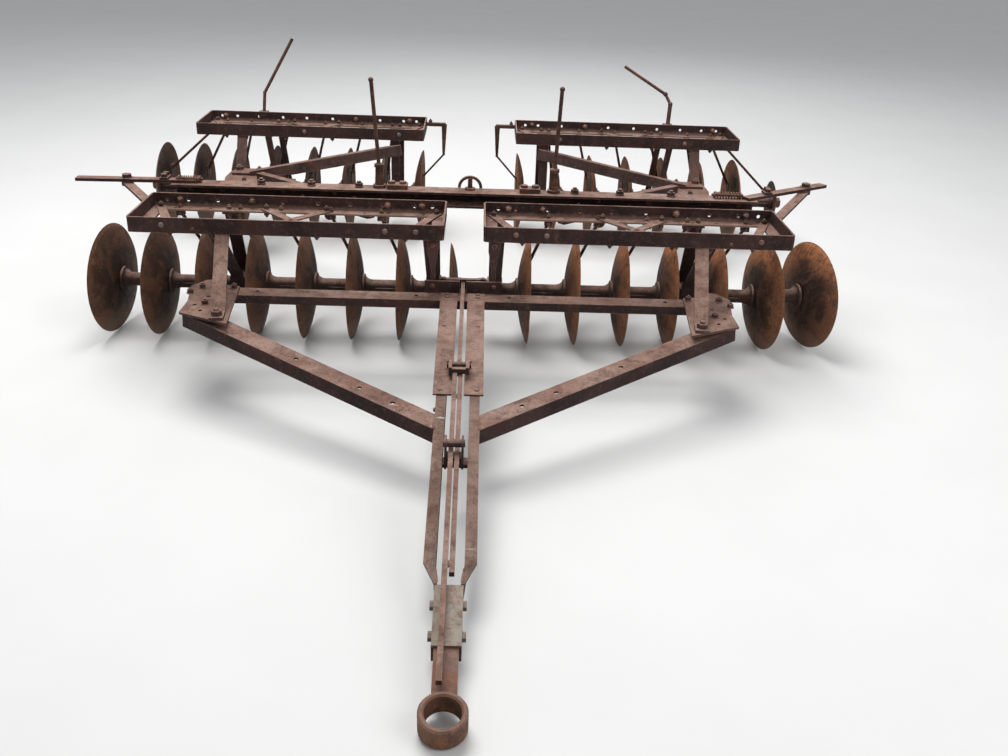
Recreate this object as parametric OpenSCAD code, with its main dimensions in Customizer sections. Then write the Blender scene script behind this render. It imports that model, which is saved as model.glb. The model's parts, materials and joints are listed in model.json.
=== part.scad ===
// Tandem disc harrow, towed, parked straight with its hitch ring on the ground.
// X is to the right seen from the hitch, Y runs back along the tongue, Z is up.
// The origin is on the ground under the middle of the machine.

/* [Blades] */
// Diameter of a full blade
disc_d = 406; // [390:1:420]
// Steel thickness of a blade
disc_t = 4; // [3:0.5:6]
// Depth of a full blade's dish, from its clamped middle to its rim
disc_dish = 39; // [34:1:46]
// Diameter of the clamped middle of a blade
disc_flat_d = 100; // [90:1:120]
// Width of the ground bevel at a blade's rim
disc_bevel = 11; // [4:1:16]
// Distance from one blade to the next
disc_pitch = 178; // [172:1:184]
// Diameter of the small blade in the middle of the front left gang
centre_disc_d = 340; // [300:1:380]
// Diameter of the small blade at the outer end of the rear right gang
furrow_disc_d = 212; // [200:1:230]

/* [Gangs] */
// Side of the square gang bolt
gang_bolt = 28; // [22:1:32]
// Body diameter of a spool
spool_d = 50; // [46:1:58]
// Diameter of a spool's large flange
spool_flange_d = 92; // [80:1:98]
// Thickness of a gang's end washer
end_washer_t = 12; // [8:1:16]
// Thickness of a gang's end nut
end_nut_t = 22; // [16:1:26]
// Full length of one bearing housing
bearing_l = 56; // [46:1:64]
// Outside size of a bearing housing
bearing_w = 84; // [76:1:96]
// Radial running gap in a bearing
bearing_gap = 0.1; // [0.05:0.05:0.15]
// Bend of the front right gang's bolt at each of its two outer blades, in degrees
bend_right = 7.5; // [0:0.5:8]
// Bend of the front left gang's bolt at each of its two outer blades, in degrees
bend_left = 3.5; // [0:0.5:8]

/* [Weight frames] */
// Length of a weight frame
box_l = 1046; // [1020:1:1070]
// Depth of a weight frame, front to back
box_w = 304; // [290:1:320]
// Height of its angle iron
box_h = 52; // [44:1:60]
// Width of the angle iron's bottom flange
box_flange = 48; // [40:1:56]
// Steel thickness of the angle iron
angle_t = 6; // [5:0.5:8]
// Height of its top edge above the ground
box_top_z = 555; // [545:1:575]
// Width of the flat bars that cross it
box_bar_w = 30; // [24:1:36]

/* [Layout] */
// Distance from the front gangs' axle to the rear gangs' axle
axle_gap = 1348; // [1330:1:1370]
// Distance from the hitch ring's centre to the front gangs' axle
hitch_reach = 2053; // [2000:1:2100]
// Place of the outermost front blade, from the middle
front_outer_x = 1270; // [1266:1:1274]
// Place of the innermost rear blade, from the middle
rear_inner_x = 270; // [266:1:274]
// Inner end of a front weight frame, from the middle
front_box_in = 66; // [56:1:76]
// Inner end of a rear weight frame, from the middle
rear_box_in = 214; // [208:1:220]
// How far a front weight frame's front edge lies ahead of its axle
front_box_lead = 356; // [346:1:366]
// How far a rear weight frame's front edge lies ahead of its axle
rear_box_lead = 224; // [220:1:234]

/* [Tongue] */
// Outside diameter of the hitch ring
ring_od = 105; // [100:1:112]
// Bore of the hitch ring
ring_id = 79; // [70:1:84]
// Height of the hitch ring
ring_h = 56; // [50:1:62]
// Width of the link behind the ring
link_w = 55; // [50:1:58]
// Height of the tongue's rails
rail_h = 50; // [40:1:60]
// Width of a rail's top flange
rail_flange = 30; // [26:1:34]
// Gap between the two rails
rail_gap = 69; // [66:1:74]
// Width of one top plate on the rear of the tongue
top_plate_w = 58; // [54:1:62]
// Width of the angling bar's slot between the top plates
slot_w = 34; // [33:1:38]
// Height of the front cross-member's top face
draft_z = 300; // [292:1:308]
// Depth of the front cross-member
cross_w = 72; // [66:1:76]
// Front edge of the cross-member, ahead of the front axle
cross_lead = 382; // [378:1:386]
// Width of a front brace's top flange
brace_w = 70; // [60:1:80]

/* [Pivots] */
// Front pivots, from the middle
front_pivot_x = 775; // [770:1:780]
// Front pivots, ahead of the front axle
front_pivot_lead = 606; // [600:1:610]
// Rear pivots, from the middle
rear_pivot_x = 1052; // [1046:1:1058]
// Rear pivots, ahead of the rear axle
rear_pivot_lead = 318; // [310:1:326]
// Height of the rear gussets' top face
rear_draft_z = 350; // [344:1:358]
// Thickness of the gusset plates
gusset_t = 8; // [6:1:10]
// Diameter of a pivot bolt
pivot_d = 20; // [16:1:24]
// Width of a pull strap
strap_w = 45; // [40:1:50]
// Thickness of a pull strap
strap_t = 10; // [8:1:12]

/* [Rear frame] */
// Half the beam's length
beam_half = 1140; // [1120:1:1160]
// Height of the beam's section
beam_h = 60; // [50:1:62]
// Depth of the beam's section
beam_w = 82; // [76:1:90]
// Height of the beam's top face
beam_top_z = 500; // [494:1:501]
// Back face of the beam, behind the front axle
beam_back = 337; // [330:1:350]
// Height of a rear brace's channel
rear_brace_h = 66; // [50:1:76]
// Tip of a side arm, from the middle
arm_tip_x = 1505; // [1490:1:1520]
// Height of the front levers' tips
lever_top_z = 915; // [860:1:940]

/* [Angling bar] */
// Width of each of the angling bar's flats
draw_w = 13; // [10:1:16]
// Height of the angling bar's flats
draw_t = 15; // [10:1:18]

/* [Hidden] */
$fn = 48;
eps = 0.01;
big = 4000;
seat = 0.3;
work_gap = 5.2;

frame_color = "#5b3a34";
dusty_color = "#7a5a52";
blade_color = "#6b4230";
spool_color = "#4f3630";
bolt_color = "#4a332c";

axle_z = disc_d / 2;
front_axle_y = (hitch_reach + ring_od / 2 - axle_gap - disc_d / 2) / 2;
rear_axle_y = front_axle_y + axle_gap;
box_bottom_z = box_top_z - box_h;
full_blades = 7;
end_stub = 4;
end_l = end_washer_t + end_nut_t + end_stub;
end_spool_l = 138;

// Radius of the ball that the dish is a part of, and the dish's depth at a radius
ball_r = (pow(disc_d / 2, 2) + pow(disc_dish, 2)) / (2 * disc_dish);
function dish_at(r) = ball_r - sqrt(ball_r * ball_r - r * r) - flat_depth;
flat_depth = ball_r - sqrt(ball_r * ball_r - pow(disc_flat_d / 2, 2));
rim_depth = dish_at(disc_d / 2);

// Gang layout: blades are counted from the outside in on the front gangs, inside out on the rear
function hub_x(front, k) = front ? front_outer_x - k * disc_pitch : rear_inner_x + k * disc_pitch;
function facing(front) = front ? 1 : -1;
function blade_count(front, right) = front && right ? full_blades : full_blades + 1;
function blade_d(front, right, k) =
    k < full_blades ? disc_d : front ? centre_disc_d : right ? furrow_disc_d : disc_d;
function axle_y(front) = front ? front_axle_y : rear_axle_y;
function box_in(front) = front ? front_box_in : rear_box_in;
function box_lead(front) = front ? front_box_lead : rear_box_lead;
spool_l = disc_pitch - disc_t;
bearing_xs_front = [hub_x(true, full_blades) + disc_t + spool_l / 2, hub_x(true, 2) - spool_l / 2 + 11];
bearing_xs_rear = [hub_x(false, 0) + spool_l / 2 - 11, hub_x(false, 3) + spool_l / 2];
// How far each hanger leans outward, in degrees
hanger_lean_rear = [0, 8];

// Tongue: its slope brings the rails' top to the cross-member's top
rail_top = 10;
tongue_run = hitch_reach - cross_lead;
rough_pitch = atan((draft_z - ring_h / 2 - rail_top) / tongue_run);
rough_ring_z = ring_h / 2 * cos(rough_pitch) + ring_od / 2 * sin(rough_pitch);
tongue_pitch = atan((draft_z - rough_ring_z - rail_top / cos(rough_pitch)) / tongue_run);
ring_z = ring_h / 2 * cos(tongue_pitch) + ring_od / 2 * sin(tongue_pitch);
tongue_l = tongue_run / cos(tongue_pitch);
block_front = 186;
block_back = 368;
rail_bend_back = 432;
plates_l = 560;
draw_z = rail_top + work_gap + 0.5;

// A thin bar's outline from a centre line in its plane
function unit(v) = v / norm(v);
function left_of(v) = [-v.y, v.x];
function mitre(path, i, d) =
    i == 0 ? path[0] + d * left_of(unit(path[1] - path[0]))
    : i == len(path) - 1 ? path[i] + d * left_of(unit(path[i] - path[i - 1]))
    : let (a = left_of(unit(path[i] - path[i - 1])),
           b = left_of(unit(path[i + 1] - path[i])),
           m = unit(a + b))
      path[i] + m * d / (m * a);
function strip(path, t) = concat(
    [for (i = [0 : len(path) - 1]) mitre(path, i, t / 2)],
    [for (i = [len(path) - 1 : -1 : 0]) mitre(path, i, -t / 2)]);

// Mirrors its children to the left side
module side(right) {
    if (right) children();
    else mirror([1, 0, 0]) children();
}

module at_axle(front) {
    translate([0, axle_y(front), 0]) children();
}

module tongue_frame() {
    translate([0, front_axle_y - hitch_reach, ring_z]) rotate([tongue_pitch, 0, 0]) children();
}

// A flat iron bent in the Y-Z plane
module bent_iron(path, t, w) {
    translate([-w / 2, 0, 0]) rotate([90, 0, 90]) linear_extrude(w) polygon(strip(path, t));
}

// A straight bar from p to q, w wide and t thick
module bar(p, q, w, t, spin = 0) {
    v = q - p;
    translate(p) rotate([0, -atan2(v.z, norm([v.x, v.y])), atan2(v.y, v.x)])
        rotate([spin, 0, 0]) translate([0, -w / 2, -t / 2]) cube([norm(v), w, t]);
}

module rod(p, q, d) {
    v = q - p;
    translate(p) rotate([0, 90 - atan2(v.z, norm([v.x, v.y])), atan2(v.y, v.x)])
        rotate([0, 0, 40]) cylinder(d = d, h = norm(v), $fn = 24);
}

// An angle iron from p to q along its outer top edge: top flange w to the left, leg h down
module angle_iron(p, q, w, h, t) {
    v = q - p;
    translate(p) rotate([0, -atan2(v.z, norm([v.x, v.y])), atan2(v.y, v.x)]) rotate([90, 0, 90])
        linear_extrude(norm(v)) polygon([[0, 0], [w, 0], [w, -t], [t, -t], [t, -h], [0, -h]]);
}

module rounded_rect(l, w, r) {
    translate([r, 0]) square([l - 2 * r, w]);
    translate([0, r]) square([l, w - 2 * r]);
    for (x = [r, l - r], y = [r, w - r]) translate([x, y]) circle(r);
}

// One dished blade: its clamped face at x = 0, its rim towards +X
module blade(d) {
    steps = 8;
    r0 = disc_flat_d / 2;
    r1 = d / 2;
    radii = [for (i = [0 : steps]) r0 + (r1 - disc_bevel - r0) * i / steps];
    convex = [for (r = radii) [r, dish_at(r)]];
    concave = [for (i = [steps : -1 : 0]) [radii[i], dish_at(radii[i]) + disc_t]];
    hole = gang_bolt + 2 * seat;
    rotate([0, 90, 0]) difference() {
        rotate_extrude($fn = 72)
            polygon(concat([[0, 0]], convex, [[r1, dish_at(r1) + disc_t - 1], [r1, dish_at(r1) + disc_t]],
                concave, [[0, disc_t]]));
        translate([-hole / 2, -hole / 2, -1]) cube([hole, hole, disc_t + 2]);
    }
}

// One cast spool along +X: its large flange at x = 0, its small end at x = l
module spool(l) {
    hole = gang_bolt + 2 * seat;
    body_r = spool_d / 2;
    flange_r = spool_flange_d / 2;
    flare_l = 30;
    flare = [for (a = [0 : 15 : 90]) [flange_r - (flange_r - body_r) * sin(a),
        8 + flare_l * (1 - cos(a))]];
    rotate([0, 90, 0]) difference() {
        rotate_extrude() polygon(concat([[0, 0], [flange_r, 0]], flare,
            [[body_r, l - 20], [body_r + 7, l - 12], [body_r + 7, l], [0, l]]));
        translate([-hole / 2, -hole / 2, -1]) cube([hole, hole, l + 2]);
    }
}

// The front gangs' outer ends are bent back: the stack gapes at blade k, on its front side
function bend(right) = right ? bend_right : bend_left;

module bent_at(right, k) {
    pivot = [hub_x(true, k), spool_flange_d / 2, 0];
    translate(pivot + [seat, 0, 0]) rotate([0, 0, bend(right)]) translate(-pivot) children();
}

// Moves a piece of a front gang to its place on the bent bolt, past this many bends
module on_bolt(right, bends) {
    if (bends == 2) bent_at(right, 1) bent_at(right, 0) children();
    else if (bends == 1) bent_at(right, 1) children();
    else children();
}

module blades(front, right) {
    color(blade_color) at_axle(front) side(right) translate([0, 0, axle_z])
        for (k = [0 : blade_count(front, right) - 1])
            if (front) on_bolt(right, max(0, 2 - k)) translate([hub_x(front, k), 0, 0])
                blade(blade_d(front, right, k));
            else translate([hub_x(front, k), 0, 0]) mirror([1, 0, 0]) blade(blade_d(front, right, k));
}

module spools(front, right) {
    count = blade_count(front, right) - 1;
    color(spool_color) at_axle(front) side(right) translate([0, 0, axle_z]) {
        for (k = [0 : count - 1])
            if (front) on_bolt(right, k == 0 ? 1 : 0) translate([hub_x(front, k), 0, 0])
                mirror([1, 0, 0]) spool(spool_l);
            else translate([hub_x(front, k), 0, 0]) spool(spool_l);
        if (front && right)
            translate([hub_x(front, count), 0, 0]) mirror([1, 0, 0]) spool(end_spool_l);
    }
}

// The two ends of a gang's clamped stack, inner then outer
function stack_ends(front, right) =
    front ? [right ? hub_x(true, full_blades - 1) - end_spool_l : hub_x(true, full_blades),
             hub_x(true, 0) + disc_t]
    : [hub_x(false, 0) - disc_t, hub_x(false, full_blades)];

// Where a point of the bolt's plane lies once the stack is bent at blade k, and the bolt's own bend there
function bent_point(right, k, p) =
    let (r = spool_flange_d / 2, a = bend(right), dx = p.x - hub_x(true, k), dy = p.y - r)
    [hub_x(true, k) + seat + dx * cos(a) - dy * sin(a), r + dx * sin(a) + dy * cos(a)];
function bolt_bend(right, k) = [hub_x(true, k) + seat + spool_flange_d / 2 * tan(bend(right) / 2), 0];

module end_nut(x, outward) {
    translate([x, 0, 0]) rotate([0, outward ? 90 : -90, 0]) {
        cylinder(d = spool_flange_d - 8, h = end_washer_t);
        cylinder(d = 52, h = end_washer_t + end_nut_t, $fn = 6);
    }
}

module gang_bolt(front, right) {
    ends = stack_ends(front, right);
    start = [ends[0] - end_l, 0];
    end = [ends[1] + end_l, 0];
    bent_path = [start, bolt_bend(right, 1), bent_point(right, 1, bolt_bend(right, 0)),
        bent_point(right, 1, bent_point(right, 0, end))];
    color(bolt_color) at_axle(front) side(right) translate([0, 0, axle_z]) {
        end_nut(ends[0], false);
        translate([0, 0, -gang_bolt / 2]) linear_extrude(gang_bolt)
            polygon(strip(front ? bent_path : [start, end], gang_bolt));
        if (front) on_bolt(right, 2) end_nut(ends[1], true);
        else end_nut(ends[1], true);
    }
}

// Weight frame: an angle-iron rectangle with flat bars crossed over its bottom flange
module weight_frame(front, right) {
    corner_r = 12;
    bar_t = 5;
    hole_d = 13;
    x0 = box_in(front);
    y0 = -box_lead(front);
    inner_l = box_l - 2 * box_flange;
    inner_w = box_w - 2 * box_flange;
    cross_bars = [[0.40, 0.62], [0.62, 0.40], [0.13, 0.03], [0.87, 0.97]];
    color(frame_color) at_axle(front) side(right) translate([x0, y0, box_bottom_z]) {
        difference() {
            linear_extrude(box_h) rounded_rect(box_l, box_w, corner_r);
            translate([angle_t, angle_t, angle_t])
                linear_extrude(box_h) rounded_rect(box_l - 2 * angle_t, box_w - 2 * angle_t,
                    corner_r - angle_t);
            translate([box_flange, box_flange, -1]) cube([inner_l, inner_w, box_h]);
            for (f = [0.05, 0.11, 0.22, 0.33, 0.44, 0.56, 0.67, 0.78, 0.88, 0.95])
                translate([f * box_l, box_w / 2, box_h * 0.55]) rotate([-90, 0, 0])
                    cylinder(d = hole_d, h = box_w);
            for (f = [0.08, 0.20, 0.28, 0.72, 0.80, 0.92],
                y = [box_flange * 0.6, box_w - box_flange * 0.6])
                translate([f * box_l, y, -1]) cylinder(d = hole_d, h = angle_t + 2);
        }
        for (b = cross_bars)
            bar([b[0] * box_l, angle_t + 14, angle_t + bar_t / 2],
                [b[1] * box_l, box_w - angle_t - 14, angle_t + bar_t / 2], box_bar_w, bar_t);
    }
}

// Bearing housing on its two hanger legs, in a plane at x; a leaning one's feet lie further out
module hanger(front, x, lean = 0) {
    leg_t = 9;
    leg_w = front ? 46 : lean == 0 ? 40 : 28;
    foot_z = box_bottom_z - leg_t / 2;
    half = bearing_w / 2;
    leg_y = half + leg_t / 2;
    lead = box_lead(front);
    back = box_w - lead;
    front_path = front
        ? [[-lead + 26, foot_z], [-lead + box_flange - 6, foot_z], [-leg_y, axle_z + half + 8],
            [-leg_y, axle_z - half + 10]]
        : [[-lead + box_flange, foot_z], [-lead + 10, foot_z], [-lead + 10, draft_z - 6],
            [-leg_y, axle_z + 14],
           [-leg_y, axle_z - half + 10]];
    back_path = front
        ? [[back - box_flange + 4, foot_z], [back - 8, foot_z], [leg_y, axle_z + half + 8],
            [leg_y, axle_z - half + 10]]
        : [[back - box_flange, foot_z], [back - 12, foot_z], [leg_y, axle_z + half + 8],
            [leg_y, axle_z - half + 10]];
    straight_front = [[-lead + 10, box_top_z], [-lead + 10, draft_z - 6], [1 - leg_y, axle_z + 14],
        [1 - leg_y, axle_z - half + 10]];
    straight_back = [[back - 8, box_top_z], [leg_y - 1, axle_z + half + 8],
        [leg_y - 1, axle_z - half + 10]];
    foot_x = tan(lean) * (foot_z - axle_z);
    translate([x, 0, 0]) difference() {
        union() {
            if (lean == 0) {
                bent_iron(front_path, leg_t, leg_w);
                bent_iron(back_path, leg_t, leg_w);
            } else {
                difference() {
                    translate([0, 0, axle_z]) rotate([0, lean, 0]) translate([0, 0, -axle_z]) {
                        bent_iron(straight_front, leg_t, leg_w);
                        bent_iron(straight_back, leg_t, leg_w);
                    }
                    translate([-big / 2, -big / 2, box_bottom_z - 1]) cube([big, big, big]);
                }
                for (y = [-lead + 8, back - box_flange])
                    translate([foot_x - leg_w / 2, y, box_bottom_z - leg_t])
                        cube([leg_w, box_flange - 9, leg_t]);
            }
            translate([-bearing_l / 2, -half, axle_z - half + 6])
                cube([bearing_l, bearing_w, bearing_w - 12]);
            translate([-bearing_l / 2, 0, axle_z]) rotate([0, 90, 0])
                cylinder(d = bearing_w, h = bearing_l);
            for (y = [-leg_y - leg_t / 2 - 9, leg_y + leg_t / 2 - 3], x1 = [-11, 11])
                translate([x1, y, axle_z])
                rotate([-90, 0, 0]) cylinder(d = 18, h = 12, $fn = 6);
        }
        translate([-bearing_l, 0, axle_z]) rotate([0, 90, 0])
            cylinder(d = spool_d + 2 * bearing_gap, h = 2 * bearing_l, $fn = 64);
    }
}

module hangers(front, right) {
    color(frame_color) at_axle(front) side(right)
        for (i = [0, 1])
            if (front) hanger(front, bearing_xs_front[i]);
            else hanger(front, bearing_xs_rear[i], hanger_lean_rear[i]);
}

// Scraper: a rod from the weight frame down to a small blade inside the dish of a blade of diameter d
scraper_r = 150;
scraper_plate_t = 5;
function scraper_off(d) = disc_t + dish_at(scraper_r * d / disc_d) + work_gap + 4 + scraper_plate_t;

module scraper(front, x_hub, x_top, d) {
    rod_d = 12;
    f = d / disc_d;
    plate_x = x_hub + facing(front) * scraper_off(d);
    back = box_w - box_lead(front);
    y_top = back - (front ? 24 : 10);
    y_plate = max(44, 60 * f);
    tip = [plate_x, y_plate + 28 * f, axle_z + 62 * f];
    rod(tip, [x_top, y_top, box_bottom_z - 10], rod_d);
    translate([x_top - 14, y_top - 14, box_bottom_z - 20]) cube([28, 24, 20]);
    translate([plate_x - scraper_plate_t / 2, y_plate, axle_z + 22 * f])
        cube([scraper_plate_t, 62 * f, 58 * f]);
}

// How far each scraper's clip lies from its blade along the gang, by the blade's number
clip_offs_front = [0, 0, 97, 63, 97, 97, 97];
clip_offs_rear = [0, 66, 97, 97, 97, 97, 160, 292];

module scrapers(front, right) {
    first = front ? 2 : 1;
    last = front ? full_blades - 1 : full_blades;
    color(bolt_color) at_axle(front) side(right) {
        for (k = [first : last]) {
            x = hub_x(front, k);
            off = front ? clip_offs_front[k] : clip_offs_rear[k];
            scraper(front, x, x + facing(front) * off, blade_d(front, right, k));
        }
        if (!front) hook_scraper();
    }
}

// Scraper for the innermost rear blade, hung on a short arm off the frame's inner end
module hook_scraper() {
    back = box_w - rear_box_lead;
    y0 = back - 40;
    arm_z = box_top_z - 26;
    plate_x = hub_x(false, 0) - scraper_off(disc_d);
    x_arm = rear_box_in - 84;
    bar([x_arm - 8, y0, arm_z], [rear_box_in, y0, arm_z], 20, 16);
    translate([x_arm, y0 + 4, 0]) rotate([90, 0, 0]) linear_extrude(8)
        polygon([[-14, arm_z + 2], [12, arm_z + 2], [7, arm_z - 150], [-5, arm_z - 150]]);
    rod([x_arm + 1, y0, arm_z - 146], [plate_x, y0 + 18, axle_z + 62], 9);
    translate([plate_x - scraper_plate_t / 2, 36, axle_z + 22]) cube([scraper_plate_t, 62, 58]);
}

// Irons that pull a gang: the pivot strap, and the inner plate or the angle brace
module pull_irons(front, right) {
    foot_z = (front ? draft_z : rear_draft_z) + gusset_t + 0.5 + strap_t / 2;
    lead = box_lead(front);
    pivot_lead = front ? front_pivot_lead : rear_pivot_lead;
    pivot_x = front ? front_pivot_x : rear_pivot_x;
    hang_z = box_bottom_z - strap_t / 2;
    color(dusty_color) at_axle(front) side(right) {
        difference() {
            union() {
                translate([pivot_x, -pivot_lead, 0]) rotate([0, 0, front ? -front_strap_skew : 0])
                    bent_iron([[pivot_lead - lead + (front ? 20 : box_flange), hang_z],
                        [pivot_lead - lead + (front ? 8 : 12), hang_z], [34, foot_z], [-26, foot_z]],
                            strap_t, strap_w);
                if (!front) rear_angle_brace(foot_z);
            }
            translate([pivot_x, -pivot_lead, 0])
                cylinder(d = pivot_d + 2 * bearing_gap, h = big, center = true);
        }
        if (front) inner_plate();
    }
}

inner_plate_x = 104;
front_strap_skew = 6;

module inner_plate() {
    top = [inner_plate_x, -front_box_lead + 12];
    drop = box_bottom_z - draft_z - 38;
    lean = atan(51 / drop);
    difference() {
        translate([inner_plate_x, -front_box_lead + 20, box_bottom_z]) rotate([lean, 0, 0])
            rotate([90, 0, 0]) linear_extrude(8) polygon([[-20, 20], [20, 20], [20, -40], [8, -110],
                [8, -drop], [-8, -drop], [-8, -110], [-20, -40]]);
        translate([0, -front_box_lead - 60, box_bottom_z]) cube([300, 200, 60]);
    }
}

// Angle brace from a rear gang's inner post to its pivot strap's foot
module rear_angle_brace(foot_z) {
    p = [bearing_xs_rear[0] - 26, -rear_box_lead - 8, 484];
    q = [rear_pivot_x - 60, -rear_pivot_lead - 72, foot_z + 14];
    difference() {
        angle_iron(p, q, 30, 48, angle_t);
        translate([0, -rear_box_lead + 10 - 4.5, 0]) cube([big, 200, big]);
        translate([0, -big / 2, foot_z - strap_t / 2 - 100]) cube([big, big, 100]);
    }
    translate([rear_pivot_x - 130, -rear_pivot_lead - 62, foot_z - strap_t / 2])
        cube([130 + strap_w / 2, 88, strap_t]);
}

// The ring's walls are chamfered, and its neck runs back inside the block
module hitch_ring() {
    c = 4;
    color(blade_color) tongue_frame() {
        rotate_extrude($fn = 96) polygon([[ring_id / 2, -ring_h / 2 + c], [ring_id / 2 + c, -ring_h / 2],
            [ring_od / 2 - c, -ring_h / 2], [ring_od / 2, -ring_h / 2 + c], [ring_od / 2, ring_h / 2 - c],
            [ring_od / 2 - c, ring_h / 2], [ring_id / 2 + c, ring_h / 2], [ring_id / 2, ring_h / 2 - c]]);
        difference() {
            translate([0, 0, -15]) linear_extrude(rail_top + 8) polygon([[-20, 30], [20, 30],
                [link_w / 2, 78], [link_w / 2, block_back - 10], [-link_w / 2, block_back - 10],
                    [-link_w / 2, 78]]);
            cylinder(d = ring_id + 4, h = big, center = true);
        }
    }
}

// Cap plate and through bolts that clamp the rails' noses to the link, and the angling bar's front runner
module tongue_block() {
    w = link_w + 2 * (angle_t + seat);
    color(dusty_color) tongue_frame() {
        translate([-w / 2, block_front, rail_top - angle_t + 1 + seat])
            cube([w, block_back - block_front, 5]);
        translate([twin_left - draw_w / 2 + 1, block_front + 50, rail_top - 2])
            cube([draw_w - 2, 70, twin_z - seat - rail_top + 2]);
        for (y = [block_front + 40, block_back - 50], s = [-1, 1]) translate([s * w / 2, y, -6])
            rotate([0, s * 90, 0]) cylinder(d = 24, h = 9, $fn = 6);
    }
}

module tongue_rails() {
    inner = rail_gap / 2;
    nose = link_w / 2 + seat;
    color(frame_color) for (right = [true, false]) side(right) difference() {
        tongue_frame() {
            translate([0, 0, rail_top - rail_h]) linear_extrude(rail_h - angle_t + 1)
                polygon(strip([[nose + angle_t / 2, block_front], [nose + angle_t / 2, block_back],
                    [inner + angle_t / 2, rail_bend_back], [inner + angle_t / 2, tongue_l + 40]],
                        angle_t));
            translate([0, 0, rail_top - angle_t]) linear_extrude(angle_t)
                polygon([[nose, block_back + 4], [nose + angle_t + 2, block_back + 4],
                    [inner + rail_flange, rail_bend_back + 10],
                    [inner + rail_flange, tongue_l + 40], [inner, tongue_l + 40],
                        [inner, rail_bend_back]]);
        }
        translate([-10, front_axle_y - cross_lead - seat, 0]) cube([300, 300, big]);
    }
}

// Two bent plates over the rear of the rails, turned flat on the cross-member
module tongue_plates() {
    t = angle_t;
    start = tongue_l - plates_l;
    y_bend = front_axle_y - cross_lead;
    slope = tan(tongue_pitch);
    run = plates_l * cos(tongue_pitch);
    z_mid = draft_z + t / 2;
    color(dusty_color) for (s = [-1, 1]) translate([s * (slot_w + top_plate_w) / 2, 0, 0])
        bent_iron([[y_bend - run, z_mid + (1 / cos(tongue_pitch) - 1) * t / 2 - run * slope],
            [y_bend - 1, z_mid], [y_bend + cross_w - 12, z_mid]], t, top_plate_w);
}

// Front diagonal braces: angle irons from the rails out and up to the gussets
module front_braces() {
    color(frame_color) for (right = [true, false]) side(right) difference() {
        front_brace();
        translate([0, 0, draft_z - 0.3]) translate([0, -big / 2, 0]) cube([big, big, 100]);
        translate([-big + rail_gap / 2 + rail_flange + seat, -big / 2, 0]) cube([big, big, big]);
    }
}

brace_in_lead = 1120;
brace_in = [rail_gap / 2, front_axle_y - brace_in_lead,
    draft_z - (brace_in_lead - cross_lead) * tan(tongue_pitch)];
brace_out = [front_pivot_x + 122, front_axle_y - 560, draft_z - 1];

module front_brace() {
    difference() {
        angle_iron(brace_in, brace_out, brace_w, 45, angle_t);
        for (f = [0.20, 0.32, 0.56]) translate([0, 0, 20])
            translate(brace_in + f * (brace_out - brace_in))
            rotate([0, 0, atan2((brace_out - brace_in).y, (brace_out - brace_in).x)])
                translate([0, brace_w / 2, 0]) cylinder(d = 15, h = 60, center = true);
    }
}

module cross_member() {
    half = front_pivot_x + 28;
    y0 = front_axle_y - cross_lead;
    leg = 30;
    bracket_half = 132;
    bracket_t = 8;
    bracket_top = draft_z + 44;
    color(frame_color) difference() {
        union() {
            translate([-half, y0, draft_z - angle_t]) cube([2 * half, cross_w, angle_t]);
            translate([-half, y0, draft_z - leg]) cube([2 * half, angle_t, leg]);
            translate([-bracket_half, y0 + cross_w, draft_z - 44])
                cube([2 * bracket_half, bracket_t, bracket_top - draft_z + 44]);
        }
        translate([-draw_w / 2 - work_gap, y0 + cross_w - 1, draft_z])
            cube([draw_w + 2 * work_gap, bracket_t + 2, 60]);
        for (x = [-106, 106], z = [-24, 24]) translate([x, y0 + cross_w - 1, draft_z + z])
            rotate([-90, 0, 0]) cylinder(d = 14, h = bracket_t + 2);
        for (x = [-160, 160, -700, 700]) translate([x, y0 + cross_w * 0.6, draft_z - 10])
            cylinder(d = 15, h = 20);
    }
}

// A pivot bolt standing on a gusset's top face
module pivot_bolt() {
    cylinder(d = pivot_d, h = strap_t + 2);
    translate([0, 0, strap_t + 1.5]) cylinder(d = pivot_d * 1.8, h = 14, $fn = 6);
}

module front_gussets() {
    holes = [[812, 332], [880, 352], [846, 420], [872, 500], [842, 548]];
    color(dusty_color) at_axle(true) for (right = [true, false]) side(right) {
        translate([0, 0, draft_z]) difference() {
            linear_extrude(gusset_t) polygon([[765, -318], [735, -652], [906, -566], [904, -469],
                [927, -325], [888, -264], [862, -257], [846, -300]]);
            for (h = holes) translate([h.x, -h.y, -1]) cylinder(d = 14, h = gusset_t + 2);
        }
        translate([front_pivot_x, -front_pivot_lead, draft_z + gusset_t]) pivot_bolt();
    }
}

// Trip latch: the angling bar's twin flats slide over its runner, between two cheeks and under a
// round bar
latch_v = 850;
twin_left = -11.5;
twin_right = 5.3;
twin_drop = 9;
twin_z = draw_z + angle_t;

module trip_latch() {
    inner = rail_gap / 2;
    cheek_t = 6;
    cheek_l = 44;
    x0 = twin_left - draw_w / 2 - work_gap - cheek_t;
    x1 = twin_right + draw_w / 2 + work_gap;
    bar_d = 22;
    bar_z = twin_z + draw_t + work_gap + bar_d / 2;
    color(bolt_color) tongue_frame() {
        for (x = [x0, x1]) translate([x, latch_v, -20]) {
            translate([0, -cheek_l / 2, 0]) cube([cheek_t, cheek_l, bar_z + 20]);
            translate([0, 0, bar_z + 20]) rotate([0, 90, 0]) cylinder(d = cheek_l, h = cheek_t);
        }
        translate([x0 + cheek_t / 2, latch_v - 16, -20])
            cube([x1 - x0, 32, twin_z - twin_drop - seat + 20]);
        translate([-inner, latch_v - 16, -20]) cube([inner + x0 + eps, 32, 12]);
        translate([x1 + cheek_t - eps, latch_v - 16, -20]) cube([inner - x1 - cheek_t + eps, 32, 12]);
        translate([x0 - 4, latch_v, bar_z]) rotate([0, 90, 0])
            cylinder(d = bar_d, h = x1 - x0 + cheek_t + 8);
    }
}

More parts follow.
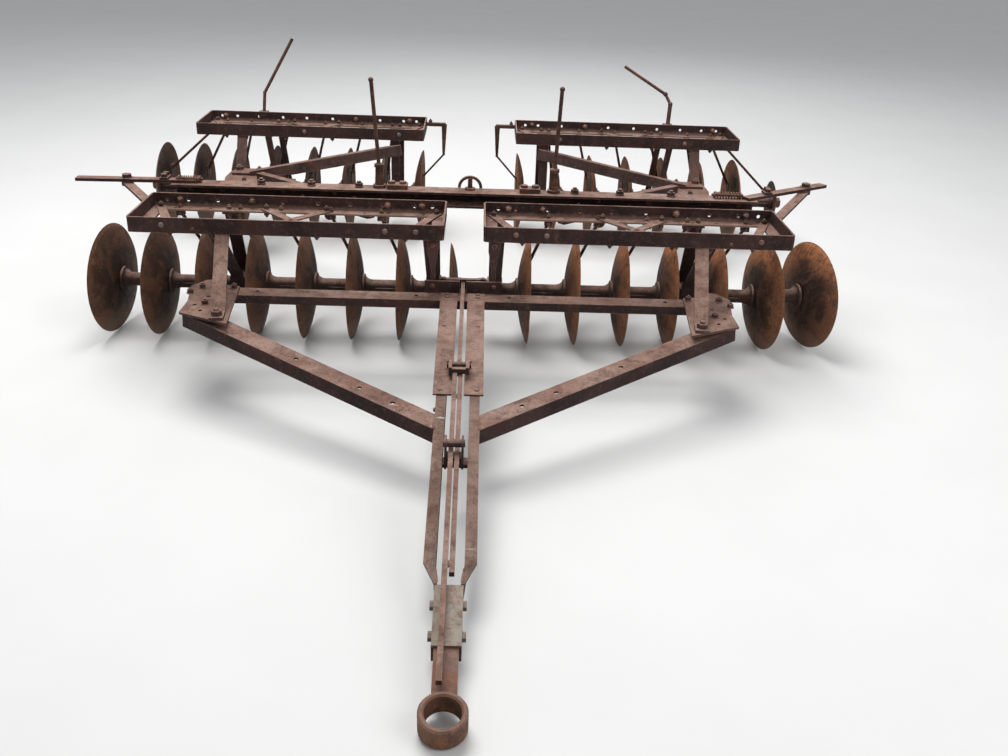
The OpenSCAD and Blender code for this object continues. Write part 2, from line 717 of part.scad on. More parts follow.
// Angling bar: twin flats from the hitch back to a shackle, and one flat that runs on through the slot
// and carries the crosshead behind the bracket
shackle_v = 1250;
shackle_in = 21;

module angling_bar() {
    front_end = 70;
    twin_front = block_back + 24;
    back_end = (hitch_reach - cross_lead + cross_w + 8) / cos(tongue_pitch) + 14;
    pin_z = rail_top + angle_t + work_gap + 18;
    cheek_t = 10;
    cheek_h = 30;
    color(frame_color) tongue_frame() {
        translate([twin_left - draw_w / 2, front_end, twin_z])
            cube([draw_w, shackle_v - 14 - front_end, draw_t]);
        translate([twin_right - draw_w / 2, twin_front, twin_z - twin_drop])
            cube([draw_w, shackle_v - 16 - twin_front, draw_t]);
        for (v = [twin_front + 30, latch_v + 260]) translate([twin_left, v - 10, twin_z + 1])
            cube([twin_right - twin_left, 20, draw_t - twin_drop - 2]);
        translate([twin_left - draw_w / 2 + 1, shackle_v - 34, twin_z + 1])
            cube([28, 19, pin_z - twin_z + 4]);
        for (s = [-1, 1]) translate([s * (shackle_in + cheek_t / 2) - cheek_t / 2, 0, pin_z]) {
            translate([0, shackle_v - 34, -cheek_h / 2 + 3]) cube([cheek_t, 40, cheek_h - 3]);
            translate([0, shackle_v + 4, 0]) rotate([0, 90, 0]) cylinder(d = cheek_h, h = cheek_t);
        }
        translate([-shackle_in - 2, shackle_v - 34, pin_z - 8]) cube([2 * shackle_in + 4, 12, 18]);
        translate([-shackle_in - cheek_t - 6, shackle_v + 4, pin_z]) rotate([0, 90, 0])
            cylinder(d = 20, h = 2 * (shackle_in + cheek_t + 6));
        translate([-draw_w / 2, shackle_v + 4, pin_z]) rotate([0, 90, 0]) cylinder(d = 34, h = draw_w);
        translate([-draw_w / 2, shackle_v + 4, draw_z + 2]) cube([draw_w, back_end - shackle_v, draw_t]);
        translate([-82, back_end, draw_z - 8]) cube([164, 12, draw_t + 20]);
        for (s = [-1, 1]) translate([s * 68, back_end + 6, draw_z + draw_t]) rotate([90, 0, 0])
            cylinder(d = 32, h = 12, center = true);
    }
}

// Rear frame
module beam() {
    y1 = front_axle_y + beam_back;
    y0 = y1 - beam_w;
    z0 = beam_top_z - beam_h;
    t = 8;
    color(frame_color) difference() {
        translate([-beam_half, y0, z0]) cube([2 * beam_half, beam_w, beam_h]);
        translate([-beam_half - 1, y0 - 1, z0 + t])
            cube([2 * beam_half + 2, beam_w - t + 1, beam_h - 2 * t]);
        for (x = [-1000, -880, -640, -440, -120, -40, 40, 120, 440, 640, 880, 1000])
            translate([x, y0 + 30, z0 - 1]) cylinder(d = 15, h = t + 2);
    }
    color(bolt_color) for (x = [-800, -606, -421, 423, 601, 803]) translate([x, y1 - 36, beam_top_z]) {
        cylinder(d = 34, h = 5);
        cylinder(d = 30, h = 17, $fn = 6);
        cylinder(d = 16, h = 24);
    }
}

// Each side arm: root X and Y, tip X and Y, and the X of its link's pin; Y from the front axle
arm_right = [1095, 280, arm_tip_x - 30, 525, 1385];
arm_left = [1050, 300, arm_tip_x, 284, 1314];
arm_t = 12;
boss_proud = 2;
function arm_pin(arm) =
    let (f = (arm[4] - arm[0]) / (arm[2] - arm[0]))
    [arm[4], front_axle_y + arm[1] + f * (arm[3] - arm[1])];

module side_arm(arm) {
    p = [arm[0], front_axle_y + arm[1], beam_top_z + arm_t / 2];
    q = [arm[2], front_axle_y + arm[3], beam_top_z + arm_t / 2];
    pin = arm_pin(arm);
    difference() {
        union() {
            bar(p, q, 40, arm_t);
            translate([pin.x, pin.y, beam_top_z - boss_proud])
                cylinder(d = 46, h = arm_t + 2 * boss_proud);
        }
        translate([pin.x, pin.y, 0]) cylinder(d = pivot_d + 2 * bearing_gap, h = big);
    }
    translate(p + 0.26 * (q - p)) {
        translate([-16, -26, arm_t / 2 - 1]) cube([32, 52, 11]);
        for (y = [-14, 14]) translate([0, y, arm_t / 2 + 9]) cylinder(d = 24, h = 14, $fn = 6);
    }
}

module side_arms() {
    color(frame_color) {
        side_arm(arm_right);
        mirror([1, 0, 0]) side_arm(arm_left);
    }
}

// Link from a side arm's pin to a front weight frame's outer rear corner
link_pin = [front_box_in + box_l - 16, box_w - front_box_lead - 14];

module side_link(right) {
    t = 10;
    top_z = beam_top_z - boss_proud - 0.5;
    mid_z = top_z - boss_proud - t / 2;
    boss_h = t + 2 * boss_proud;
    rear = arm_pin(right ? arm_right : arm_left);
    front = [link_pin.x, front_axle_y + link_pin.y];
    color(frame_color) side(right) {
        bar([front.x, front.y, mid_z], [rear.x, rear.y, mid_z], 36, t);
        for (p = [front, rear]) translate([p.x, p.y, top_z - boss_h]) cylinder(d = 44, h = boss_h);
        translate([front.x, front.y, top_z - 4]) cylinder(d = pivot_d, h = box_bottom_z - top_z + 3.5);
        translate([rear.x, rear.y, top_z - 4]) cylinder(d = pivot_d, h = arm_t + 16);
        translate([rear.x, rear.y, beam_top_z + arm_t + boss_proud + 0.5])
            cylinder(d = 36, h = 13, $fn = 6);
    }
}

// Channels from the beam out and back to the rear gussets
module rear_braces() {
    bottom_z = rear_draft_z + gusset_t;
    p = [392, front_axle_y + beam_back - beam_w / 2, beam_top_z - beam_h];
    q = [rear_pivot_x - 104, front_axle_y + 900, bottom_z + 30];
    color(frame_color) for (right = [true, false]) side(right) difference() {
        channel(p, q, 34, rear_brace_h, angle_t);
        translate([rear_pivot_x - 300, rear_axle_y - rear_pivot_lead - 300, bottom_z - 100])
            cube([400, 400, 100]);
    }
}

// A channel from p to q along its outer top edge: flanges w to the left, web h down
module channel(p, q, w, h, t) {
    v = q - p;
    translate(p) rotate([0, -atan2(v.z, norm([v.x, v.y])), atan2(v.y, v.x)]) rotate([90, 0, 90])
        linear_extrude(norm(v)) polygon([[0, 0], [w, 0], [w, -t], [t, -t], [t, t - h], [w, t - h],
            [w, -h], [0, -h]]);
}

module rear_gussets() {
    color(dusty_color) at_axle(false) for (right = [true, false]) side(right) {
        translate([0, 0, rear_draft_z]) difference() {
            linear_extrude(gusset_t) polygon([[870, -400], [930, -500], [1080, -505], [1096, -420],
                [1092, -300], [1060, -262], [960, -270], [900, -320]]);
            for (h = [[930, 440], [1000, 470], [960, 330]]) translate([h.x, -h.y, -1])
                cylinder(d = 14, h = gusset_t + 2);
        }
        translate([rear_pivot_x, -rear_pivot_lead, rear_draft_z + gusset_t]) pivot_bolt();
    }
}

// Upright levers in cast sockets on the beam
module beam_levers() {
    y = front_axle_y + beam_back - 30;
    socket_h = 95;
    // Each row: socket X, tip X, tip Z, and where the clamp casting beside it begins
    rows = [[340, 352, lever_top_z - 12, 206], [-342, -368, lever_top_z, -312]];
    color(bolt_color) for (r = rows) {
        translate([r[0], y, beam_top_z]) {
            cylinder(d = 50, h = 12);
            cylinder(d1 = 36, d2 = 28, h = socket_h);
            translate([0, 0, socket_h - 14]) cylinder(d = 38, h = 12);
        }
        rod([r[0], y, beam_top_z + socket_h - 20], [r[1], y, r[2]], 15);
        translate([r[1], y, r[2] - 6]) sphere(d = 20, $fn = 24);
        translate([r[3], y - 30, beam_top_z]) cube([80, 52, 18]);
        for (x = [18, 62]) translate([r[3] + x, y - 4, beam_top_z + 17])
            cylinder(d = 28, h = 11, $fn = 6);
    }
}

// Stud with a curved handle behind the middle of the beam
module beam_hook() {
    y = front_axle_y + beam_back - 24;
    color(bolt_color) translate([12, y, beam_top_z]) {
        cylinder(d = 40, h = 8);
        cylinder(d = 18, h = 46);
        translate([0, 0, 8]) rotate([90, 0, 0]) rotate_extrude(angle = 180, $fn = 48)
            translate([42, 0]) circle(d = 12, $fn = 24);
    }
}

// Bent lever in a clip on a rear weight frame's back edge
module rear_lever(right) {
    y = rear_axle_y + box_w - rear_box_lead + 10;
    // Each row: X and Z of the lever's points from the clip up
    path = right ? [[968, 530], [976, 648], [952, 690], [744, 812]] : [[1010, 530], [1004, 640],
        [862, 892]];
    y_lean = 26;
    color(bolt_color) side(right) {
        translate([path[0].x - 22, y - 10, box_bottom_z + 6]) cube([44, 34, 46]);
        for (i = [0 : len(path) - 2])
            rod([path[i].x, y + i * y_lean, path[i].y],
                [path[i + 1].x, y + (i + 1) * y_lean, path[i + 1].y],
                right && i == 0 ? 20 : 15);
        for (i = [1 : len(path) - 2]) translate([path[i].x, y + i * y_lean, path[i].y])
            rotate([20, 30, 0]) sphere(d = right ? 23 : 18, $fn = 24);
    }
}

hitch_ring();
tongue_block();
tongue_rails();
tongue_plates();
front_braces();
cross_member();
front_gussets();
trip_latch();
angling_bar();
weight_frame(true, false);  // weight_frame_fl
weight_frame(true, true);  // weight_frame_fr
weight_frame(false, false);  // weight_frame_rl
weight_frame(false, true);  // weight_frame_rr
pull_irons(true, false);  // pull_irons_fl
pull_irons(true, true);  // pull_irons_fr
pull_irons(false, false);  // pull_irons_rl
pull_irons(false, true);  // pull_irons_rr
hangers(true, false);  // hangers_fl
hangers(true, true);  // hangers_fr
hangers(false, false);  // hangers_rl
hangers(false, true);  // hangers_rr
scrapers(true, false);  // scrapers_fl
scrapers(true, true);  // scrapers_fr
scrapers(false, false);  // scrapers_rl
scrapers(false, true);  // scrapers_rr
blades(true, false);  // blades_fl
blades(true, true);  // blades_fr
blades(false, false);  // blades_rl
blades(false, true);  // blades_rr
spools(true, false);  // spools_fl
spools(true, true);  // spools_fr
spools(false, false);  // spools_rl
spools(false, true);  // spools_rr
gang_bolt(true, false);  // gang_bolt_fl
gang_bolt(true, true);  // gang_bolt_fr
gang_bolt(false, false);  // gang_bolt_rl
gang_bolt(false, true);  // gang_bolt_rr
beam();
side_arms();
side_link(false);  // side_link_l
side_link(true);  // side_link_r
rear_braces();
rear_gussets();
beam_levers();
beam_hook();
rear_lever(false);  // rear_lever_l
rear_lever(true);  // rear_lever_r
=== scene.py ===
"""Looks of the tandem disc harrow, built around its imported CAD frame."""
import json
import math
import random

import bpy
import bmesh
from mathutils import Matrix, Vector


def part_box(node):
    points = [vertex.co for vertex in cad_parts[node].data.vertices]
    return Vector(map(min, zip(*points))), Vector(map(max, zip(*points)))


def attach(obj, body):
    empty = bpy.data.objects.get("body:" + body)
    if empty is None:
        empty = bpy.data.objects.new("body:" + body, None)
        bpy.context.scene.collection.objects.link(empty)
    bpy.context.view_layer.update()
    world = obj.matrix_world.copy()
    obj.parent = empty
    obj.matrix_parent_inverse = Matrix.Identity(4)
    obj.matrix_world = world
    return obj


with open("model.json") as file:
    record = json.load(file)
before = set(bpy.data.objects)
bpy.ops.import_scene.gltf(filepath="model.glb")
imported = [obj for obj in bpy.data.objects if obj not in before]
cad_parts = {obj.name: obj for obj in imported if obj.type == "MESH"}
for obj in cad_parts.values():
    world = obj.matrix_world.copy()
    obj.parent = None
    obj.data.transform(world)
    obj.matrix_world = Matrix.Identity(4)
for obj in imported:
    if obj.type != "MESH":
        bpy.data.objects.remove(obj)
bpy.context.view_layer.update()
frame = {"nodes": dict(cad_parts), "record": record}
record = frame["record"]
scene = bpy.context.scene
scene.view_settings.view_transform = "Standard"

# The camera, fitted to the photograph; the focal length is in its pixels
IMAGE_W = 1008
FOCAL_PX = 1021.8
SENSOR_MM = 36.0
CAMERA_AT = Vector((0.046, -3.35455, 1.5611))
PITCH_DOWN = 0.4439
YAW = 0.0325
ROLL = 0.0390

RIGHT = Vector((1, 0, 0))
BACK = Vector((0, 1, 0))
UP = Vector((0, 0, 1))

# Gangs: the axles' places, and the outermost front hub and innermost rear hub
FRONT_AXLE_Y = 0.27725
REAR_AXLE_Y = 1.62525
AXLE_Z = 0.203
BLADE_PITCH = 0.178
FRONT_OUTER_HUB = 1.270
REAR_INNER_HUB = 0.270

# Weight frames: angle iron boxes, whose front edge lies this far before the axle
BOX_L = 1.046
BOX_W = 0.304
BOX_BOTTOM = 0.503
FRONT_BOX_LEAD = 0.356
REAR_BOX_LEAD = 0.224
FLANGE_TOP = BOX_BOTTOM + 0.006
FOOT_BOTTOM = BOX_BOTTOM - 0.009
BOX_MIDDLES = (FRONT_AXLE_Y - FRONT_BOX_LEAD + BOX_W / 2, REAR_AXLE_Y - REAR_BOX_LEAD + BOX_W / 2)

# The pivot bolts that the gangs swing on: out from the middle, and before the axle
FRONT_PIVOT_X = 0.775
FRONT_PIVOT_LEAD = 0.606
REAR_PIVOT_X = 1.052
REAR_PIVOT_LEAD = 0.318

hitch = record["mounts"][0]
RING_AT = Vector(hitch["pos_m"])
TONGUE_UP = Vector(hitch["axis"]).normalized()
TONGUE_BACK = TONGUE_UP.cross(RIGHT)


def on_tongue(x, back, up):
    """A place measured from the middle of the hitch ring, along the sloping tongue."""
    return RING_AT + RIGHT * x + TONGUE_BACK * back + TONGUE_UP * up


def tinted(tone, *gains):
    """tone times one gain, or times a gain for each channel."""
    if len(gains) == 1:
        gains = gains * 3
    return tuple(gain * channel for gain, channel in zip(gains, tone))


class Nodes:
    """Builds one material's node tree."""

    def __init__(self, name):
        self.material = bpy.data.materials.new(name)
        self.material.use_nodes = True
        self.tree = self.material.node_tree
        self.tree.nodes.clear()

    def add(self, kind, **inputs):
        node = self.tree.nodes.new(kind)
        for key, value in inputs.items():
            self.put(node.inputs[key.replace("_", " ")], value)
        return node

    def put(self, socket, value):
        if isinstance(value, bpy.types.NodeSocket):
            self.tree.links.new(value, socket)
        else:
            socket.default_value = value

    def math(self, operation, *values, clamp=False):
        node = self.tree.nodes.new("ShaderNodeMath")
        node.operation = operation
        node.use_clamp = clamp
        for i, value in enumerate(values):
            self.put(node.inputs[i], value)
        return node.outputs[0]

    def times(self, product, *others):
        for other in others:
            product = self.math("MULTIPLY", product, other)
        return product

    def vector_math(self, operation, a, b, output):
        node = self.tree.nodes.new("ShaderNodeVectorMath")
        node.operation = operation
        self.put(node.inputs[0], a)
        self.put(node.inputs[1], b)
        return node.outputs[output]

    def ramp(self, value, low, high, out_low=0.0, out_high=1.0):
        """A smooth step from out_low at low to out_high at high; low may be the larger one."""
        node = self.tree.nodes.new("ShaderNodeMapRange")
        node.interpolation_type = "SMOOTHSTEP"
        for name, setting in (("Value", value), ("From Min", low), ("From Max", high),
                              ("To Min", out_low), ("To Max", out_high)):
            self.put(node.inputs[name], setting)
        return node.outputs["Result"]

    def noise(self, vector, scale, detail=5.0, roughness=0.6, distortion=0.0):
        node = self.add("ShaderNodeTexNoise", Scale=scale, Detail=detail, Roughness=roughness,
                        Distortion=distortion)
        self.put(node.inputs["Vector"], vector)
        return node.outputs["Fac"]

    def mix(self, factor, a, b):
        node = self.tree.nodes.new("ShaderNodeMix")
        node.data_type = "RGBA"
        self.put(node.inputs["Factor"], factor)
        for socket, value in ((node.inputs[6], a), (node.inputs[7], b)):
            self.put(socket, value if isinstance(value, bpy.types.NodeSocket) else (*value, 1.0))
        return node.outputs[2]

    def surface(self, shader):
        out = self.add("ShaderNodeOutputMaterial")
        self.put(out.inputs["Surface"], shader.outputs[0])
        return self.material


class Iron(Nodes):
    """Weathered iron: each method lays one more layer on the colour so far.

    tones are those of deep paint, worn paint, chalky film, rust and dust, and the dust also serves as
    painted light.
    """

    def __init__(self, name, tones):
        super().__init__(name)
        self.deep, self.worn, self.chalk, self.rust, self.dust_and_light = tones
        self.place = self.add("ShaderNodeTexCoord").outputs["Object"]
        self.geometry = self.add("ShaderNodeNewGeometry")
        self.normal = self.add("ShaderNodeSeparateXYZ", Vector=self.geometry.outputs["Normal"])
        axes = self.add("ShaderNodeSeparateXYZ", Vector=self.place)
        self.x, self.y, self.z = (axes.outputs[axis] for axis in "XYZ")
        self.broad = self.noise(self.place, 5.0, 6.0, 0.62, 0.4)
        self.stain = self.noise(self.place, 9.0, 6.0, 0.66, 1.2)
        self.blotch = self.noise(self.place, 17.0, 8.0, 0.7, 0.7)
        self.mottle = self.noise(self.place, 60.0, 6.0, 0.7)
        self.grain = self.noise(self.place, 330.0, 3.0, 0.6)
        self.upward = self.ramp(self.normal.outputs["Z"], 0.30, 0.88)

    def lay(self, cover, tone):
        self.colour = self.mix(cover, self.colour, tone)

    def paint(self):
        """Purple-brown paint in broad fields, worn to red-brown, with a chalky film in spots."""
        self.colour = self.mix(self.ramp(self.broad, 0.36, 0.62), self.deep, self.worn)
        redder = tinted(self.worn, 1.35, 0.82, 0.72)
        self.lay(self.times(self.ramp(self.stain, 0.50, 0.66), 0.65), redder)
        self.lay(self.times(self.ramp(self.mottle, 0.50, 0.72), 0.7), self.chalk)

    def corrode(self, amount):
        """Finds where the paint has let go in patches."""
        start = 0.74 - 0.3 * amount
        self.rusty = self.times(self.ramp(self.blotch, start, start + 0.10),
                                self.ramp(self.mottle, 0.3, 0.6, 0.25, 1.0))

    def corrode_blades(self, axle_y):
        """Moves the rust toward the blades' rims and toward the right-hand gangs."""
        back = self.math("SUBTRACT", self.y, axle_y)
        self.rise = self.math("SUBTRACT", self.z, AXLE_Z)
        squares = self.math("ADD", self.times(back, back), self.times(self.rise, self.rise))
        self.radius = self.math("SQRT", squares)
        angle = self.math("ARCTAN2", self.rise, back)
        streaks = self.add("ShaderNodeCombineXYZ", X=self.times(angle, 2.2),
                           Y=self.times(self.radius, 16.0), Z=self.times(self.x, 5.0))
        streak = self.noise(streaks.outputs[0], 2.2, 6.0, 0.75)
        self.rim = self.ramp(self.math("ADD", self.radius, self.times(streak, 0.07)), 0.115, 0.225)
        to_right = self.ramp(self.x, -1.0, 0.7, 0.30, 1.0)
        fine = self.ramp(self.noise(self.place, 150.0, 5.0, 0.75), 0.36, 0.56, 0.40, 1.0)
        spread = self.math("ADD", self.times(self.rusty, 0.18), self.times(self.rim, to_right, 0.9))
        self.rusty = self.math("MULTIPLY", spread, fine, clamp=True)

    def rust_over(self):
        """Lays the rust, pale grains and dark pits."""
        grainy = self.mix(self.ramp(self.grain, 0.35, 0.7), tinted(self.rust, 0.62),
                          tinted(self.rust, 1.22))
        self.lay(self.rusty, grainy)
        self.lay(self.times(self.ramp(self.grain, 0.54, 0.74), 0.28), self.chalk)
        pits = self.ramp(self.noise(self.place, 140.0, 4.0, 0.7), 0.40, 0.30)
        self.lay(self.times(pits, 0.75), tinted(self.deep, 0.4))

    def mark_blades(self):
        """Scratches round the axle, dark hubs, fresh rust on upper rims, soil on lower ones."""
        rings = self.add("ShaderNodeCombineXYZ", X=self.times(self.radius, 90.0),
                         Y=self.times(self.broad, 2.0), Z=0.0)
        scratch = self.noise(rings.outputs[0], 3.0, 4.0, 0.7)
        self.lay(self.times(self.ramp(scratch, 0.52, 0.75), 0.3), self.chalk)
        hubward = self.ramp(self.rim, 0.0, 1.0, 0.85, 0.35)
        self.lay(self.times(self.ramp(self.stain, 0.54, 0.42), hubward), self.deep)
        fresh = self.times(self.rim, self.ramp(self.rise, 0.07, 0.17), self.ramp(self.x, -0.3, 0.4),
                           self.ramp(self.mottle, 0.44, 0.60), 0.9)
        self.lay(fresh, FRESH_RUST)
        soil_line = self.math("ADD", self.rise, self.times(self.broad, -0.12))
        self.lay(self.times(self.ramp(soil_line, -0.13, -0.26), 0.75), self.dust_and_light)

    def lay_dust_and_top_light(self, amount):
        """Dust and painted top light on what faces up, brown where it is stained, and a thin film all
        over.
        """
        patches = self.ramp(self.noise(self.place, 22.0, 6.0, 0.72, 0.4), 0.30, 0.58, 0.30, 1.0)
        flecks = self.ramp(self.noise(self.place, 115.0, 5.0, 0.75), 0.36, 0.50, 0.35, 1.0)
        patches = self.times(patches, self.ramp(self.mottle, 0.25, 0.5, 0.6, 1.0), flecks)
        # What faces up is made paler: partly settled dust, partly painted top light
        cover = self.math("MULTIPLY", self.times(self.upward, patches), amount, clamp=True)
        depth = self.math("ADD", self.times(self.broad, 0.6), self.times(self.grain, 0.4))
        dust_and_top_light_tone = self.mix(self.ramp(depth, 0.38, 0.62), tinted(self.dust_and_light, 0.80, 0.66, 0.62),
                         tinted(self.dust_and_light, 1.2))
        dust_and_top_light_tone = self.mix(self.times(self.ramp(self.stain, 0.46, 0.62), 0.55), dust_and_top_light_tone,
                         tinted(self.rust, 0.9))
        self.lay(cover, dust_and_top_light_tone)
        film = self.noise(self.place, 34.0, 6.0, 0.7, 0.5)
        self.lay(self.times(self.ramp(film, 0.52, 0.7), 0.16), tinted(self.dust_and_light, 0.75))

    def wash_into_boxes(self):
        """Soil washed into the bottom corners of the weight frames, inside their long walls."""
        offsets = [self.math("ABSOLUTE", self.math("SUBTRACT", self.y, y)) for y in BOX_MIDDLES]
        inside = self.ramp(self.math("MINIMUM", *offsets), BOX_W / 2 - 0.0015, BOX_W / 2 - 0.0035)
        upright = self.ramp(self.math("ABSOLUTE", self.normal.outputs["Y"]), 0.5, 0.8)
        above = self.ramp(self.z, BOX_BOTTOM - 0.001, BOX_BOTTOM + 0.001, 0.0, 0.75)
        level = self.math("ADD", self.z, self.times(self.mottle, -0.022))
        low = self.ramp(level, FLANGE_TOP + 0.008, FLANGE_TOP - 0.011)
        self.lay(self.times(inside, upright, low, above), self.dust_and_light)

    def scale_front_end(self):
        """Grey-green scale that grows toward the tongue's front end."""
        spots = self.ramp(self.noise(self.place, 46.0, 7.0, 0.8, 0.4), 0.34, 0.60)
        forward = self.ramp(self.y, -1.00, -1.45, 0.0, 0.9)
        upper = self.ramp(self.normal.outputs["Z"], 0.2, 0.8, 0.35, 1.0)
        self.lay(self.times(spots, forward, upper), GREY_SCALE)

    def chip(self):
        """A few pale chips in what faces up, longer across the machine."""
        stretched = self.vector_math("MULTIPLY", self.place, (11.0, 40.0, 40.0), "Vector")
        chips = self.ramp(self.noise(stretched, 1.0, 3.0, 0.6, 0.3), 0.715, 0.735)
        self.lay(self.times(chips, self.upward, 0.8), PALE_CHIP)

    def rub_and_highlight_edges(self, amount):
        """Paler edges, partly rubbed wear and partly painted highlight, found by how a rounded normal
        departs from the real one.
        """
        bevel = self.add("ShaderNodeBevel", Radius=0.0035)
        bevel.samples = 4
        likeness = self.vector_math("DOT_PRODUCT", bevel.outputs["Normal"],
                                    self.geometry.outputs["Normal"], "Value")
        edge = self.ramp(likeness, 0.995, 0.86)
        # The paler edges stand for rubbed paint and a painted edge highlight
        rubbed_and_lit = self.times(edge, self.ramp(self.blotch, 0.42, 0.58), amount)
        self.lay(rubbed_and_lit, tinted(self.dust_and_light, 1.35))

    def shaded(self, bump):
        """The finished material, matt, with the layers' relief."""
        height = self.math("ADD", self.times(self.mottle, 0.7), self.times(self.grain, 0.45))
        height = self.math("ADD", height, self.times(self.rusty, 0.25))
        relief = self.add("ShaderNodeBump", Strength=bump, Distance=0.0016, Height=height)
        rough = self.ramp(self.mottle, 0.3, 0.7, 0.58, 0.92)
        shader = self.add("ShaderNodeBsdfPrincipled", Metallic=0.0, Roughness=rough,
                          Normal=relief.outputs[0])
        shader.inputs["Specular IOR Level"].default_value = 0.22
        self.put(shader.inputs["Base Color"], self.colour)
        return self.surface(shader)


def old_iron(name, tones, rust=0.45, dust_and_light=1.0, wear_and_highlight=0.7, bump=0.5, axle_y=None, boxes=False,
             scale=False):
    """Iron with all its layers; blades get axle_y, weight frames boxes, the tongue scale."""
    iron = Iron(name, tones)
    iron.paint()
    iron.corrode(rust)
    if axle_y is not None:
        iron.corrode_blades(axle_y)
    iron.rust_over()
    if axle_y is not None:
        iron.mark_blades()
    iron.lay_dust_and_top_light(dust_and_light)
    if boxes:
        iron.wash_into_boxes()
    if scale:
        iron.scale_front_end()
    iron.chip()
    iron.rub_and_highlight_edges(wear_and_highlight)
    return iron.shaded(bump)


# The dust tone, which is also laid as painted top light and painted edge highlight
DUST_AND_LIGHT = (0.212, 0.136, 0.107)
FRESH_RUST = (0.36, 0.125, 0.046)
GREY_SCALE = (0.25, 0.226, 0.182)
PALE_CHIP = (0.42, 0.35, 0.31)

# Tones: deep paint, worn paint, chalky film, rust, dust (also laid as painted top light and painted
# edge highlight)
PAINT_TONES = ((0.016, 0.0080, 0.0070), (0.036, 0.0175, 0.0150), (0.085, 0.050, 0.042),
               (0.110, 0.052, 0.032), DUST_AND_LIGHT)
RAIL_TONES = ((0.024, 0.0130, 0.0105), (0.052, 0.028, 0.0225), (0.115, 0.072, 0.058),
              (0.120, 0.062, 0.040), (0.172, 0.112, 0.086))
DUSTY_TONES = ((0.034, 0.0185, 0.0160), (0.070, 0.038, 0.032), (0.14, 0.092, 0.078),
               (0.135, 0.070, 0.046), (0.212, 0.136, 0.106))
WORN_TONES = ((0.030, 0.0155, 0.0115), (0.070, 0.035, 0.024), (0.135, 0.082, 0.060),
              (0.17, 0.072, 0.036), DUST_AND_LIGHT)
RING_TONES = ((0.055, 0.028, 0.020), (0.115, 0.058, 0.037), (0.17, 0.110, 0.085),
              (0.21, 0.092, 0.045), (0.17, 0.108, 0.090))
CAST_TONES = ((0.019, 0.0105, 0.0085), (0.043, 0.024, 0.0185), (0.090, 0.058, 0.045),
              (0.13, 0.060, 0.032), DUST_AND_LIGHT)
PALE_TONES = ((0.08, 0.050, 0.042), (0.15, 0.100, 0.084), (0.25, 0.18, 0.15),
              (0.20, 0.10, 0.062), (0.26, 0.18, 0.15))
BLADE_TONES = ((0.023, 0.0120, 0.0085), (0.066, 0.035, 0.023), (0.15, 0.090, 0.060),
               (0.29, 0.118, 0.054), (0.16, 0.110, 0.078))

paint = old_iron("old_paint", PAINT_TONES, dust_and_light=1.2, boxes=True)
rail_paint = old_iron("rail_paint", RAIL_TONES, dust_and_light=1.1)
dusty_paint = old_iron("dusty_paint", DUSTY_TONES, dust_and_light=1.1, scale=True)
worn = old_iron("worn_iron", WORN_TONES, rust=0.75, bump=0.7)
ring_iron = old_iron("ring_iron", RING_TONES, rust=1.0, bump=0.8)
cast = old_iron("cast", CAST_TONES, rust=0.5, wear_and_highlight=0.4, bump=0.8)
pale_heads = old_iron("pale_heads", PALE_TONES, rust=0.5, wear_and_highlight=0.4)
blade_front = old_iron("blade_front", BLADE_TONES, 0.75, 0.3, 0.5, 0.7, FRONT_AXLE_Y)
blade_rear = old_iron("blade_rear", BLADE_TONES, 0.75, 0.3, 0.5, 0.7, REAR_AXLE_Y)

BY_SLOT = {"old_paint": paint, "dusty_paint": dusty_paint, "worn_iron": worn, "cast": cast}
BY_NODE = {"hitch_ring": ring_iron, "tongue_rails": rail_paint,
           "blades_fl": blade_front, "blades_fr": blade_front,
           "blades_rl": blade_rear, "blades_rr": blade_rear}
for part in record["subparts"]:
    materials = frame["nodes"][part["node"]].data.materials
    materials.clear()
    materials.append(BY_NODE.get(part["node"]) or BY_SLOT[part["material_slot"]])

# Finishes of the fittings: the record's slot, and the material
FINISHES = {slot: (slot, material) for slot, material in BY_SLOT.items()}
FINISHES["pale_heads"] = ("dusty_paint", pale_heads)

# Turned profiles, as rows of radius and height: a pivot bolt's threaded end, a small bolt's
# threaded end, and a grease fitting
PIVOT_END = ((0.0095, -0.002), (0.0095, 0.002), (0.0084, 0.0032), (0.0095, 0.0044),
             (0.0084, 0.0056), (0.0095, 0.0068), (0.008, 0.009))
HOUSING_BOLT_END = ((0.0052, -0.004), (0.0052, 0.003), (0.0044, 0.0045), (0.0052, 0.006),
                    (0.0044, 0.0075), (0.004, 0.0085))
NIPPLE = ((0.0055, -0.001), (0.0058, 0.0), (0.0058, 0.004), (0.0036, 0.0052), (0.0032, 0.008),
          (0.0042, 0.0094), (0.0040, 0.0116), (0.0018, 0.0134))
# A collar on a spring rod
COLLAR = ((0.012, -0.004), (0.0135, -0.003), (0.0135, 0.003), (0.012, 0.004))
# A round head for a radius of 1
DOME = ((0.96, 0.0), (1.0, 0.12), (0.95, 0.30), (0.80, 0.48), (0.55, 0.61), (0.28, 0.68),
        (0.06, 0.70))

SUNK = 0.0005
THREAD_PITCH = 0.0022
RIPPLE_PITCH = 0.0028
SPRING_SIDES_PER_TURN = 14
SMOOTH_BELOW = math.radians(38)


